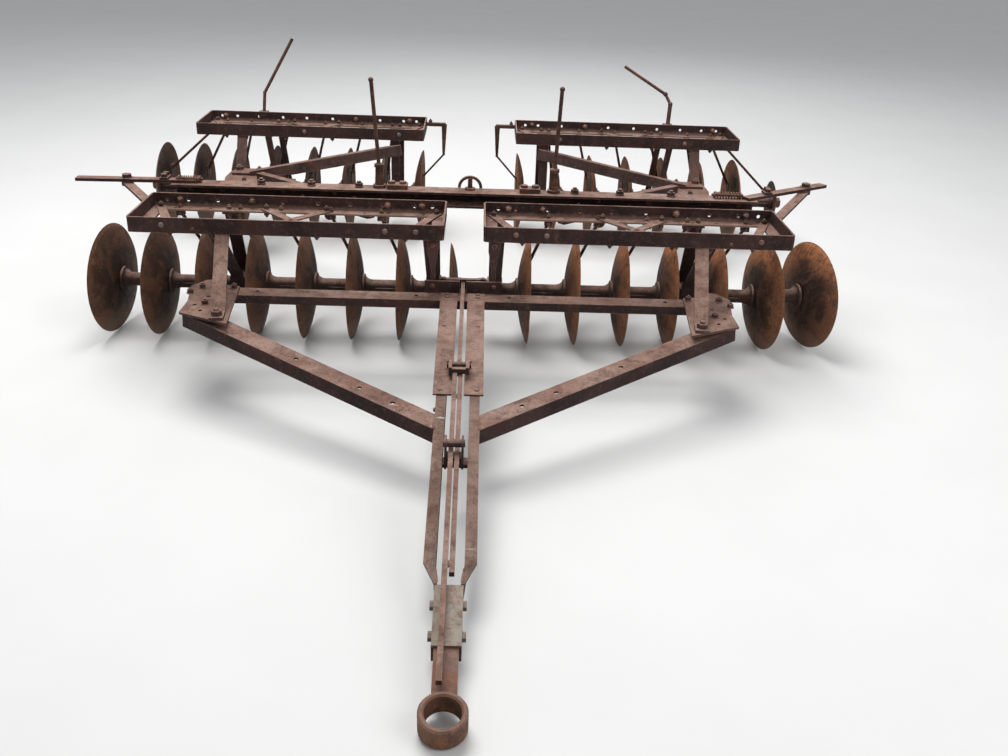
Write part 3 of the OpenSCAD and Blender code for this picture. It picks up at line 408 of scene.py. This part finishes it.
class Bench:
    """Gathers small fittings into one mesh for each body and finish."""

    def __init__(self, seed):
        self.meshes = {}
        self.random = random.Random(seed)

    def mesh(self, where):
        if where not in self.meshes:
            self.meshes[where] = bmesh.new()
        return self.meshes[where]

    def jog(self):
        return Vector([self.random.uniform(-1, 1) for _ in range(3)])

    def turned(self, where, at, axis, rows, sides=12):
        """A closed solid turned about axis, from rows of radius and height."""
        mesh = self.mesh(where)
        turn = Vector(axis).to_track_quat("Z", "Y").to_matrix()
        start = self.random.uniform(0.0, math.tau)
        rings = []
        for radius, height in rows:
            ring = []
            for i in range(sides):
                a = start + math.tau * i / sides
                local = Vector((radius * math.cos(a), radius * math.sin(a), height))
                ring.append(mesh.verts.new(Vector(at) + turn @ local))
            rings.append(ring)
        self.skin(mesh, rings)

    def tube(self, where, points, radii, sides=8):
        """A closed tube along points, with its radius at each of them."""
        mesh = self.mesh(where)
        points = [Vector(p) for p in points]
        side = None
        rings = []
        for i, point in enumerate(points):
            ahead = (points[min(i + 1, len(points) - 1)] - points[max(i - 1, 0)]).normalized()
            if side is None:
                side = ahead.orthogonal().normalized()
            side = (side - ahead * side.dot(ahead)).normalized()
            other = ahead.cross(side)
            ring = []
            for j in range(sides):
                a = math.tau * j / sides
                spoke = math.cos(a) * side + math.sin(a) * other
                ring.append(mesh.verts.new(point + radii[i] * spoke))
            rings.append(ring)
        self.skin(mesh, rings)

    def skin(self, mesh, rings):
        """Faces between rings of points, and one over each end."""
        count = len(rings[0])
        for low, high in zip(rings, rings[1:]):
            for i in range(count):
                j = (i + 1) % count
                mesh.faces.new((low[i], low[j], high[j], high[i]))
        mesh.faces.new(list(reversed(rings[0])))
        mesh.faces.new(rings[-1])

    def bolt(self, where, at, axis, across=0.019, stud=0.0, sides=6):
        """A washer with a chamfered head or nut on it, and the threaded end that shows."""
        at = Vector(at)
        axis = (Vector(axis) + 0.03 * self.jog()).normalized()
        corner = 0.5 * across / math.cos(math.pi / sides)
        washer = 0.11 * across
        head = 0.62 * across
        self.turned(where, at - axis * SUNK, axis,
                    [(0.66 * across, 0.0), (0.70 * across, 0.3 * washer),
                     (0.70 * across, washer), (0.64 * across, washer + SUNK)], 20)
        self.turned(where, at + axis * washer, axis,
                    [(0.93 * corner, 0.0), (corner, 0.1 * head),
                     (corner, 0.80 * head), (0.84 * corner, head)], sides)
        if stud:
            r = 0.31 * across
            rows = [(r, 0.0)]
            for i in range(int(stud / THREAD_PITCH)):
                rows.append((r, head + THREAD_PITCH * i))
                rows.append((0.88 * r, head + THREAD_PITCH * (i + 0.5)))
            rows.append((0.8 * r, head + stud))
            self.turned(where, at + axis * washer, axis, rows, 12)

    def dome(self, where, at, axis, d=0.02):
        """A carriage bolt's or rivet's round head."""
        r = d / 2
        rows = [(radius * r, height * r) for radius, height in DOME]
        self.turned(where, Vector(at) - SUNK * Vector(axis), axis, rows, 18)

    def weld(self, where, p, q, r=0.004):
        """A rippled weld bead from p to q."""
        p, q = Vector(p), Vector(q)
        steps = max(4, int((q - p).length / RIPPLE_PITCH))
        points = []
        radii = []
        for i in range(steps + 1):
            points.append(p + (q - p) * i / steps + self.jog() * r * 0.12)
            end = min(i, steps - i)
            radii.append(r * (0.86 + 0.2 * (i % 2)) * min(1.0, 0.55 + 0.25 * end))
        self.tube(where, points, radii, 7)

    def spring(self, where, p, q, coil_r, wire_r, turns):
        """A coil spring round the line from p to q."""
        p, q = Vector(p), Vector(q)
        axis = (q - p).normalized()
        side = axis.orthogonal().normalized()
        other = axis.cross(side)
        steps = turns * SPRING_SIDES_PER_TURN
        points = []
        for i in range(steps + 1):
            a = math.tau * turns * i / steps
            spoke = math.cos(a) * side + math.sin(a) * other
            points.append(p + (q - p) * i / steps + coil_r * spoke)
        self.tube(where, points, [wire_r] * len(points), 7)

    def cotter(self, where, at, axis, r, size):
        """A split pin: its eye, and its two legs bent apart."""
        axis = Vector(axis).normalized()
        side = axis.orthogonal().normalized()
        at = Vector(at)
        eye = []
        for i in range(13):
            a = math.tau * (0.06 + 0.88 * i / 12)
            eye.append(at + axis * (size * (0.75 - 0.25 * math.cos(a)))
                       + side * (size * 0.25 * math.sin(a)))
        self.tube(where, eye, [r] * len(eye), 6)
        for s in (-1, 1):
            legs = [at + axis * size * 0.55 + side * s * r * 0.8,
                    at - axis * size * 0.9 + side * s * r * 0.8,
                    at - axis * size * 1.3 + side * s * size * 0.5]
            self.tube(where, legs, [r * 0.8] * 3, 6)

    def finish(self):
        """Makes an object of every mesh, riding on its body."""
        for (body, finish), mesh in sorted(self.meshes.items()):
            bmesh.ops.recalc_face_normals(mesh, faces=mesh.faces[:])
            for face in mesh.faces:
                face.smooth = True
            for edge in mesh.edges:
                edge.smooth = edge.calc_face_angle(0.0) < SMOOTH_BELOW
            slot, material = FINISHES[finish]
            name = "fittings_%s_%s" % (body, finish)
            data = bpy.data.meshes.new(name)
            mesh.to_mesh(data)
            mesh.free()
            data.materials.append(material)
            obj = bpy.data.objects.new(name, data)
            scene.collection.objects.link(obj)
            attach(obj, body)


# Flat bars in a weight frame, as shares of its length: the end at the front, the end at the back
BARS = ((0.40, 0.62), (0.62, 0.40), (0.13, 0.03), (0.87, 0.97))
# Heads on the front wall of each weight frame, and bolts through the rear wall: x
FRONT_WALL_HEADS = {"fr": (0.174, 0.277, 0.998), "fl": (0.160, 0.262, 0.998),
                    "rr": (0.418, 1.000), "rl": (0.329, 0.764)}
REAR_WALL_BOLTS = {"f": (0.155, 0.278, 0.760, 1.013), "r": (0.300, 0.560, 1.190)}
WALL_BOLT_Z = BOX_BOTTOM + 0.027
# Bolts in the hangers' feet: x, then y of the front and of the rear one
FEET = {"f": ((0.115, 0.033, 0.275), (0.838, 0.033, 0.275)),
        "r": ((0.346, 0.030, 0.275), (0.9325, 0.028, 0.275))}
# Least distance between two bolts
BOLT_ROOM = 0.027
# How far each scraper's clip stands from the hub with this number, toward the one before it
CLIP_OFFSETS = {"f": {2: 0.097, 3: 0.063, 4: 0.097, 5: 0.097, 6: 0.097},
                "r": {1: 0.066, 2: 0.097, 3: 0.097, 4: 0.097, 5: 0.097, 6: 0.160, 7: 0.292}}
BEARING_X = {"f": (0.115, 0.838), "r": (0.346, 0.891)}
BEARING_TOP = 0.042
# From the axle to the seat of a housing bolt's end
HOUSING_BOLT_Y = 0.0595
# Spools with a bearing on them, by the number of the hub before them
BEARING_SPOOLS = {"f": (2, 6), "r": (3,)}
SPOOL_COUNT = 6
# Casting seams: from the hub before a spool to both ends, from the axle, and the seam's radii
SEAM_ENDS = (0.048, 0.152)
SEAM_Y = 0.0245
SEAM_RADII = (0.0016, 0.0026, 0.0024, 0.0026, 0.0016)
# The x of a pair of bolts from their middle, and of the bolt ends on a bearing from its middle
PAIR = (-0.012, 0.012)
BEARING_PAIR = (-0.011, 0.011)
# A front gang's inner plate bolt, and the middle of its pivot strap's bolts: x, y
INNER_PLATE_BOLT = (0.104, 0.0195)
FRONT_STRAP = (0.802, 0.0165)
REAR_STRAP_Y = 0.030
# Bolts of a rear gang's hook arm: x, distance from the rear edge, z, direction, size
HOOK_ARM_BOLTS = ((0.196, 0.040, 0.5365, UP, 0.016), (0.130, 0.036, 0.500, BACK, 0.014))
# The foot of a rear pivot strap: x, top, and its bolts' y from the pivot bolt
STRAP_FOOT_X = 0.962
STRAP_FOOT_TOP = 0.3685
STRAP_FOOT_BOLTS_Y = (-0.040, 0.004)
# The lug of a rear lever: x by side, y from the axle, z
LUG_X = {1: 0.968, -1: 1.010}
LUG_Y = 0.114
LUG_Z = 0.532


class Gang:
    """Places on one gang's weight frame: x out from the middle, y from the frame's front edge."""

    def __init__(self, front, right):
        self.front = front
        self.sign = 1 if right else -1
        side = ("front_" if front else "rear_") + ("right" if right else "left")
        self.frame = side + "_frame"
        self.gang = side + "_gang"
        self.row = "f" if front else "r"
        self.key = self.row + ("r" if right else "l")
        low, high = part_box("weight_frame_" + self.key)
        self.x0 = min(abs(low[0]), abs(high[0]))
        self.y0 = low[1]
        self.axle_y = FRONT_AXLE_Y if front else REAR_AXLE_Y
        self.iron = (self.frame, "worn_iron")

    def at(self, x, y, z):
        return Vector((self.sign * x, self.y0 + y, z))

    def hub(self, k):
        """The x of a hub, counted inward in front and outward behind."""
        first = FRONT_OUTER_HUB if self.front else REAR_INNER_HUB
        return self.along(first, BLADE_PITCH * k)

    def along(self, x, distance):
        """x moved toward the hub that is counted next."""
        return x - (distance if self.front else -distance)


def cross_bar_ends(bench, gang):
    """Bolts at the ends of the flat bars, and a rivet where the two long bars cross."""
    z = FLANGE_TOP + 0.005
    places = []
    for near, far in BARS:
        p = Vector((gang.x0 + near * BOX_L, 0.020, 0))
        q = Vector((gang.x0 + far * BOX_L, BOX_W - 0.020, 0))
        for end, other in ((p, q), (q, p)):
            spot = end + (other - end).normalized() * 0.013
            places.append(spot)
            bench.bolt((gang.frame, "cast"), gang.at(spot.x, spot.y, z), UP, 0.017, 0.005)
            bench.bolt(gang.iron, gang.at(spot.x, spot.y, BOX_BOTTOM), -UP, 0.017, 0.006)
    crossing = gang.at(gang.x0 + 0.51 * BOX_L, BOX_W / 2, z)
    bench.dome(gang.iron, crossing, UP, 0.017)
    bench.dome(gang.iron, crossing - UP * 0.005, -UP, 0.017)
    return places


def wall_bolts(bench, gang):
    """Bolts through the weight frame's long walls, their round heads outside."""
    pale = (gang.frame, "pale_heads")
    if gang.front:
        bench.dome(gang.iron, gang.at(0.897, 0.0, BOX_BOTTOM + 0.016), -BACK, 0.013)
    for x in FRONT_WALL_HEADS[gang.key]:
        bench.dome(pale, gang.at(x, 0.0, WALL_BOLT_Z), -BACK, 0.019)
        bench.bolt(gang.iron, gang.at(x, 0.006, WALL_BOLT_Z), BACK, 0.018, 0.006)
    for x in REAR_WALL_BOLTS[gang.row]:
        bench.bolt(gang.iron, gang.at(x, BOX_W - 0.006, WALL_BOLT_Z + 0.004), -BACK, 0.018, 0.006)
        bench.dome(pale, gang.at(x, BOX_W, WALL_BOLT_Z + 0.004), BACK, 0.020)


def foot_bolts(bench, gang, taken):
    """Bolts through the hangers' feet, where no flat bar's bolt is in the way."""
    for x, y_front, y_back in FEET[gang.row]:
        for y in (y_front, y_back):
            spot = Vector((x, y, 0))
            if all((spot - other).length > BOLT_ROOM for other in taken):
                bench.bolt(gang.iron, gang.at(x, y, FLANGE_TOP), UP, 0.016, 0.005)
            bench.bolt(gang.iron, gang.at(x, y, FOOT_BOTTOM), -UP, 0.016, 0.007)


def corner_welds(bench, gang):
    """A weld along the mitre of each corner's flange."""
    reach = 0.036
    for x, to_x in ((gang.x0 + 0.002, reach), (gang.x0 + BOX_L - 0.002, -reach)):
        for y, to_y in ((0.002, reach), (BOX_W - 0.002, -reach)):
            bench.weld((gang.frame, "old_paint"),
                       gang.at(x + to_x * 0.25, y + to_y * 0.25, FLANGE_TOP),
                       gang.at(x + to_x * 1.2, y + to_y * 1.2, FLANGE_TOP), 0.0028)


def scraper_bolts(bench, gang):
    """A set screw in each scraper's clip, and a bolt over the clip."""
    clip_y = BOX_W - (0.024 if gang.front else 0.010)
    for k, offset in CLIP_OFFSETS[gang.row].items():
        x = gang.along(gang.hub(k), -offset)
        screw = gang.at(x, clip_y - 0.014, BOX_BOTTOM - 0.011)
        bench.bolt(gang.iron, screw, -BACK, 0.011, 0.004, sides=4)
        bench.bolt(gang.iron, gang.at(x, BOX_W - 0.026, FLANGE_TOP), UP, 0.014, 0.006)


def bearing_fittings(bench, gang):
    """A grease fitting and four bolt ends on each bearing housing."""
    for x in BEARING_X[gang.row]:
        bench.turned(gang.iron, (gang.sign * x, gang.axle_y, AXLE_Z + BEARING_TOP), UP, NIPPLE, 10)
        for s in (-1, 1):
            for dx in BEARING_PAIR:
                spot = (gang.sign * (x + dx), gang.axle_y + s * HOUSING_BOLT_Y, AXLE_Z)
                bench.turned(gang.iron, spot, s * BACK, HOUSING_BOLT_END, 10)


def spool_seams(bench, gang):
    """Casting seams along the spools that run in no bearing."""
    for k in range(1, SPOOL_COUNT + 1):
        if k in BEARING_SPOOLS[gang.row]:
            continue
        near, far = (gang.along(gang.hub(k), end) for end in SEAM_ENDS)
        for s in (-1, 1):
            y = gang.axle_y + s * SEAM_Y
            points = [(gang.sign * (near + (far - near) * i / 4), y, AXLE_Z) for i in range(5)]
            bench.tube((gang.gang, "cast"), points, SEAM_RADII, 6)


def strap_bolts(bench, gang, x, y):
    """A pair of bolts that holds the pivot strap or the angle brace under the flange."""
    for dx in PAIR:
        bench.bolt(gang.iron, gang.at(x + dx, y, FLANGE_TOP), UP, 0.016, 0.005)
        bench.bolt(gang.iron, gang.at(x + dx, y, BOX_BOTTOM - 0.010), -UP, 0.016, 0.005)


def front_pull_bolts(bench, gang):
    """Bolts of a front gang's inner plate and pivot strap."""
    x, y = INNER_PLATE_BOLT
    bench.bolt(gang.iron, gang.at(x, y, BOX_BOTTOM - 0.018) - BACK * 0.004, -BACK, 0.016)
    strap_bolts(bench, gang, *FRONT_STRAP)


def rear_pull_bolts(bench, gang):
    """Bolts of a rear gang's pivot strap, hook arm, strap foot and lever."""
    strap_bolts(bench, gang, REAR_PIVOT_X, REAR_STRAP_Y)
    for x, inset, z, direction, across in HOOK_ARM_BOLTS:
        bench.bolt(gang.iron, gang.at(x, BOX_W - inset, z), direction, across, 0.006)
    foot = Vector((gang.sign * STRAP_FOOT_X, REAR_AXLE_Y - REAR_PIVOT_LEAD, STRAP_FOOT_TOP))
    for y in STRAP_FOOT_BOLTS_Y:
        bench.bolt(gang.iron, foot + BACK * y, UP, 0.017, 0.005)
    for dx in PAIR:
        spot = (gang.sign * (LUG_X[gang.sign] + dx), REAR_AXLE_Y + LUG_Y, LUG_Z)
        bench.bolt(gang.iron, spot, BACK, 0.015, 0.006)


def gang_fittings(bench, gang):
    """Everything that fastens or dresses one gang and its weight frame."""
    taken = cross_bar_ends(bench, gang)
    wall_bolts(bench, gang)
    foot_bolts(bench, gang, taken)
    corner_welds(bench, gang)
    scraper_bolts(bench, gang)
    bearing_fittings(bench, gang)
    spool_seams(bench, gang)
    if gang.front:
        front_pull_bolts(bench, gang)
    else:
        rear_pull_bolts(bench, gang)


# Bolt heads on a front gusset: x, y from the axle; nuts under two of them: x, y, z
GUSSET_TOP = 0.308
GUSSET_HEADS = ((0.841, -0.490), (0.913, -0.394), (0.779, -0.336), (0.885, -0.342))
GUSSET_NUTS = ((0.841, -0.490, 0.300), (0.779, -0.336, 0.294))
# Bolts through the cross-member's bracket: x, y from the axle, and z with the rise to each bolt
BRACKET_BOLT = (0.106, -0.310)
BRACKET_Z = 0.300
BRACKET_RISE = 0.024
BRACKET_THICK = 0.008
# Heads on the tongue plates: x, y from the axle, z on their flat ends, and then x, the distances
# from the ring and the height on their slopes
PLATE_END_HEADS = ((0.052, -0.362, 0.306), (0.052, -0.336, 0.306))
PLATE_HEAD_X = 0.055
PLATE_HEADS_BACK = (1.155, 1.52)
PLATE_TOP = 0.0158
# Bolts through the rails' sides, and one in the left rail: distance from the ring, height, size, stud
RAIL_SIDE_X = 0.0405
RAIL_BOLTS = ((0.85, -0.014, 0.020, 0.009), (1.60, -0.016, 0.018, 0.006))
LEFT_RAIL_BOLT = (1.084, -0.006, 0.022, 0.014)
# Ends of the weld between a rail and its brace: x, y from the axle, z
BRACE_WELD = ((0.0652, -1.100, 0.1922), (0.0652, -1.018, 0.1926))
# Ends of the weld along a rail's inner edge behind the block: x, distance from the ring, height
RAIL_WELD = ((0.029, 0.376, 0.0095), (0.0345, 0.424, 0.0095))
# The heights at which the pivot bolts' threaded ends start
FRONT_PIVOT_TOP = 0.3325
REAR_PIVOT_TOP = 0.3825

FRONT_IRON = ("front_frame", "worn_iron")
FRONT_PALE = ("front_frame", "dusty_paint")
REAR_IRON = ("rear_frame", "worn_iron")
REAR_PALE = ("rear_frame", "dusty_paint")


def pivot_ends(bench, s):
    """The threaded ends of one side's pivot bolts, over their nuts."""
    front = (s * FRONT_PIVOT_X, FRONT_AXLE_Y - FRONT_PIVOT_LEAD, FRONT_PIVOT_TOP)
    rear = (s * REAR_PIVOT_X, REAR_AXLE_Y - REAR_PIVOT_LEAD, REAR_PIVOT_TOP)
    bench.turned(FRONT_IRON, front, UP, PIVOT_END, 14)
    bench.turned(REAR_IRON, rear, UP, PIVOT_END, 14)


def front_frame_fittings(bench):
    """Bolts and welds of the gussets, the cross-member's bracket and the tongue."""
    for s in (-1, 1):
        for x, y in GUSSET_HEADS:
            bench.bolt(FRONT_PALE, (s * x, FRONT_AXLE_Y + y, GUSSET_TOP), UP, 0.019, 0.004)
        for x, y, z in GUSSET_NUTS:
            bench.bolt(FRONT_IRON, (s * x, FRONT_AXLE_Y + y, z), -UP, 0.019, 0.008)
        pivot_ends(bench, s)
        x, y = BRACKET_BOLT
        for z in (BRACKET_Z - BRACKET_RISE, BRACKET_Z + BRACKET_RISE):
            head = Vector((s * x, FRONT_AXLE_Y + y, z))
            bench.dome(FRONT_PALE, head, -BACK, 0.020)
            bench.bolt(FRONT_IRON, head + BACK * BRACKET_THICK, BACK, 0.019, 0.007)
        for x, y, z in PLATE_END_HEADS:
            bench.dome(FRONT_PALE, (s * x, FRONT_AXLE_Y + y, z), UP, 0.017)
        for back in PLATE_HEADS_BACK:
            spot = on_tongue(s * PLATE_HEAD_X, back, PLATE_TOP)
            bench.dome(FRONT_PALE, spot, TONGUE_UP, 0.014)
        for back, up, across, stud in RAIL_BOLTS:
            spot = on_tongue(s * RAIL_SIDE_X, back, up)
            bench.bolt(FRONT_IRON, spot, s * RIGHT, across, stud)
        ends = [(s * x, FRONT_AXLE_Y + y, z) for x, y, z in BRACE_WELD]
        bench.weld(FRONT_IRON, *ends, 0.004)
        ends = [on_tongue(s * x, back, up) for x, back, up in RAIL_WELD]
        bench.weld(FRONT_IRON, *ends, 0.003)
    back, up, across, stud = LEFT_RAIL_BOLT
    bench.bolt(FRONT_IRON, on_tongue(-RAIL_SIDE_X, back, up), -RIGHT, across, stud)


def angling_bar_fittings(bench):
    """The split pins of the shackle."""
    for s in (-1, 1):
        spot = on_tongue(s * 0.0345, 1.254, 0.0392)
        bench.cotter(("angling_slider", "worn_iron"), spot, TONGUE_UP, 0.0018, 0.014)


# The spring rods on the beam: x of their inner and outer collars, by side
SPRING_X = {1: (0.975, 1.075), -1: (1.035, 1.115)}
SPRING_Y = FRONT_AXLE_Y + 0.296
SPRING_Z = 0.5138
COLLAR_FOOT_Z = 0.501
# Bolts through a rear gusset: x, y from the rear axle
REAR_GUSSET_BOLTS = ((0.930, -0.440), (1.000, -0.470))
REAR_GUSSET_TOP = 0.358
REAR_GUSSET_BOTTOM = 0.350
# Bolts of the beam: through its lower flange, and through its web
BEAM_FLANGE_BOLTS_X = (0.440, 0.640)
BEAM_FLANGE_Z = 0.448
BEAM_WEB_BOLTS_X = (0.20, 0.52, 0.72, 0.96, 1.08)
BEAM_WEB_Z = 0.470


def spring_rod(bench, s):
    """A rod in two welded collars with a coil spring between them."""
    x_in, x_out = SPRING_X[s]
    for x in (x_in, x_out):
        bench.turned(REAR_IRON, (s * x, SPRING_Y, SPRING_Z), s * RIGHT, COLLAR, 18)
        bench.weld(REAR_IRON, (s * x, SPRING_Y - 0.010, COLLAR_FOOT_Z),
                   (s * x, SPRING_Y + 0.010, COLLAR_FOOT_Z), 0.0035)
    rod = [(s * x, SPRING_Y, SPRING_Z) for x in (x_in - 0.012, x_in, x_out, x_out + 0.012)]
    bench.tube(REAR_IRON, rod, [0.0055, 0.006, 0.006, 0.0055], 12)
    bench.spring(REAR_IRON, (s * (x_in + 0.005), SPRING_Y, SPRING_Z),
                 (s * (x_out - 0.005), SPRING_Y, SPRING_Z), 0.0113, 0.0024, 8)


def rear_frame_fittings(bench):
    """The springs on the beam, and the bolts of the rear gussets and of the beam."""
    beam_low, beam_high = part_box("beam")
    for s in (-1, 1):
        spring_rod(bench, s)
        for x, y in REAR_GUSSET_BOLTS:
            bench.bolt(REAR_PALE, (s * x, REAR_AXLE_Y + y, REAR_GUSSET_TOP), UP, 0.019, 0.004)
            bench.bolt(REAR_IRON, (s * x, REAR_AXLE_Y + y, REAR_GUSSET_BOTTOM), -UP, 0.019, 0.007)
        for x in BEAM_FLANGE_BOLTS_X:
            spot = (s * x, beam_low[1] + 0.030, BEAM_FLANGE_Z)
            bench.bolt(REAR_IRON, spot, UP, 0.019, 0.005)
        for x in BEAM_WEB_BOLTS_X:
            bench.dome(REAR_PALE, (s * x, beam_high[1], BEAM_WEB_Z), BACK, 0.021)
            bench.bolt(REAR_IRON, (s * x, beam_high[1] - 0.008, BEAM_WEB_Z), -BACK, 0.019, 0.006)


def camera():
    """The camera at the photograph's place."""
    data = bpy.data.cameras.new("camera")
    data.sensor_width = SENSOR_MM
    data.lens = SENSOR_MM * FOCAL_PX / IMAGE_W
    obj = bpy.data.objects.new("camera", data)
    scene.collection.objects.link(obj)
    forward = Vector((math.sin(YAW) * math.cos(PITCH_DOWN), math.cos(YAW) * math.cos(PITCH_DOWN),
                      -math.sin(PITCH_DOWN)))
    right = forward.cross(UP).normalized()
    up = right.cross(forward)
    rolled_right = math.cos(ROLL) * right + math.sin(ROLL) * up
    rolled_up = -math.sin(ROLL) * right + math.cos(ROLL) * up
    turn = Matrix((rolled_right, rolled_up, -forward)).transposed()
    obj.matrix_world = Matrix.Translation(CAMERA_AT) @ turn.to_4x4()
    scene.camera = obj


# The floor's two tones, and half its width
FLOOR_TONES = ((0.55, 0.545, 0.535), (0.60, 0.595, 0.585))
FLOOR_REACH = 40.0


def stage():
    """A pale floor, a little below the blades' rims."""
    n = Nodes("floor")
    place = n.add("ShaderNodeTexCoord").outputs["Object"]
    tone = n.mix(n.noise(place, 2.0, 4.0), *FLOOR_TONES)
    shader = n.add("ShaderNodeBsdfPrincipled", Roughness=0.9)
    n.put(shader.inputs["Base Color"], tone)
    mesh = bpy.data.meshes.new("floor")
    r = FLOOR_REACH
    corners = [(-r, -r, 0), (r, -r, 0), (r, r, 0), (-r, r, 0)]
    mesh.from_pydata(corners, [], [(0, 1, 2, 3)])
    mesh.materials.append(n.surface(shader))
    floor = bpy.data.objects.new("floor", mesh)
    floor.location.z = -0.0015
    scene.collection.objects.link(floor)


SKY = (0.93, 0.96, 1.0, 1.0)
SKY_STRENGTH = 0.55
LAMP_TARGET = Vector((0, 0.3, 0.3))
# Lamps: name, place, size, power
LAMPS = (("key", (-1.0, 1.1, 5.4), 4.0, 380.0),
         ("fill", (4.0, -3.4, 3.6), 4.0, 125.0),
         ("back", (1.0, 6.0, 4.6), 4.0, 100.0))


def light():
    """A soft, nearly white world and three round lamps."""
    world = bpy.data.worlds.new("soft_studio")
    scene.world = world
    world.use_nodes = True
    sky = world.node_tree.nodes["Background"]
    sky.inputs["Color"].default_value = SKY
    sky.inputs["Strength"].default_value = SKY_STRENGTH
    for name, at, size, power in LAMPS:
        lamp = bpy.data.lights.new(name, "AREA")
        lamp.shape = "DISK"
        lamp.size = size
        lamp.energy = power
        obj = bpy.data.objects.new(name, lamp)
        obj.location = at
        obj.rotation_euler = (LAMP_TARGET - Vector(at)).to_track_quat("-Z", "Y").to_euler()
        scene.collection.objects.link(obj)


fittings = Bench(20)
for front in (True, False):
    for right in (True, False):
        gang_fittings(fittings, Gang(front, right))
front_frame_fittings(fittings)
angling_bar_fittings(fittings)
rear_frame_fittings(fittings)
fittings.finish()
camera()
stage()
light()
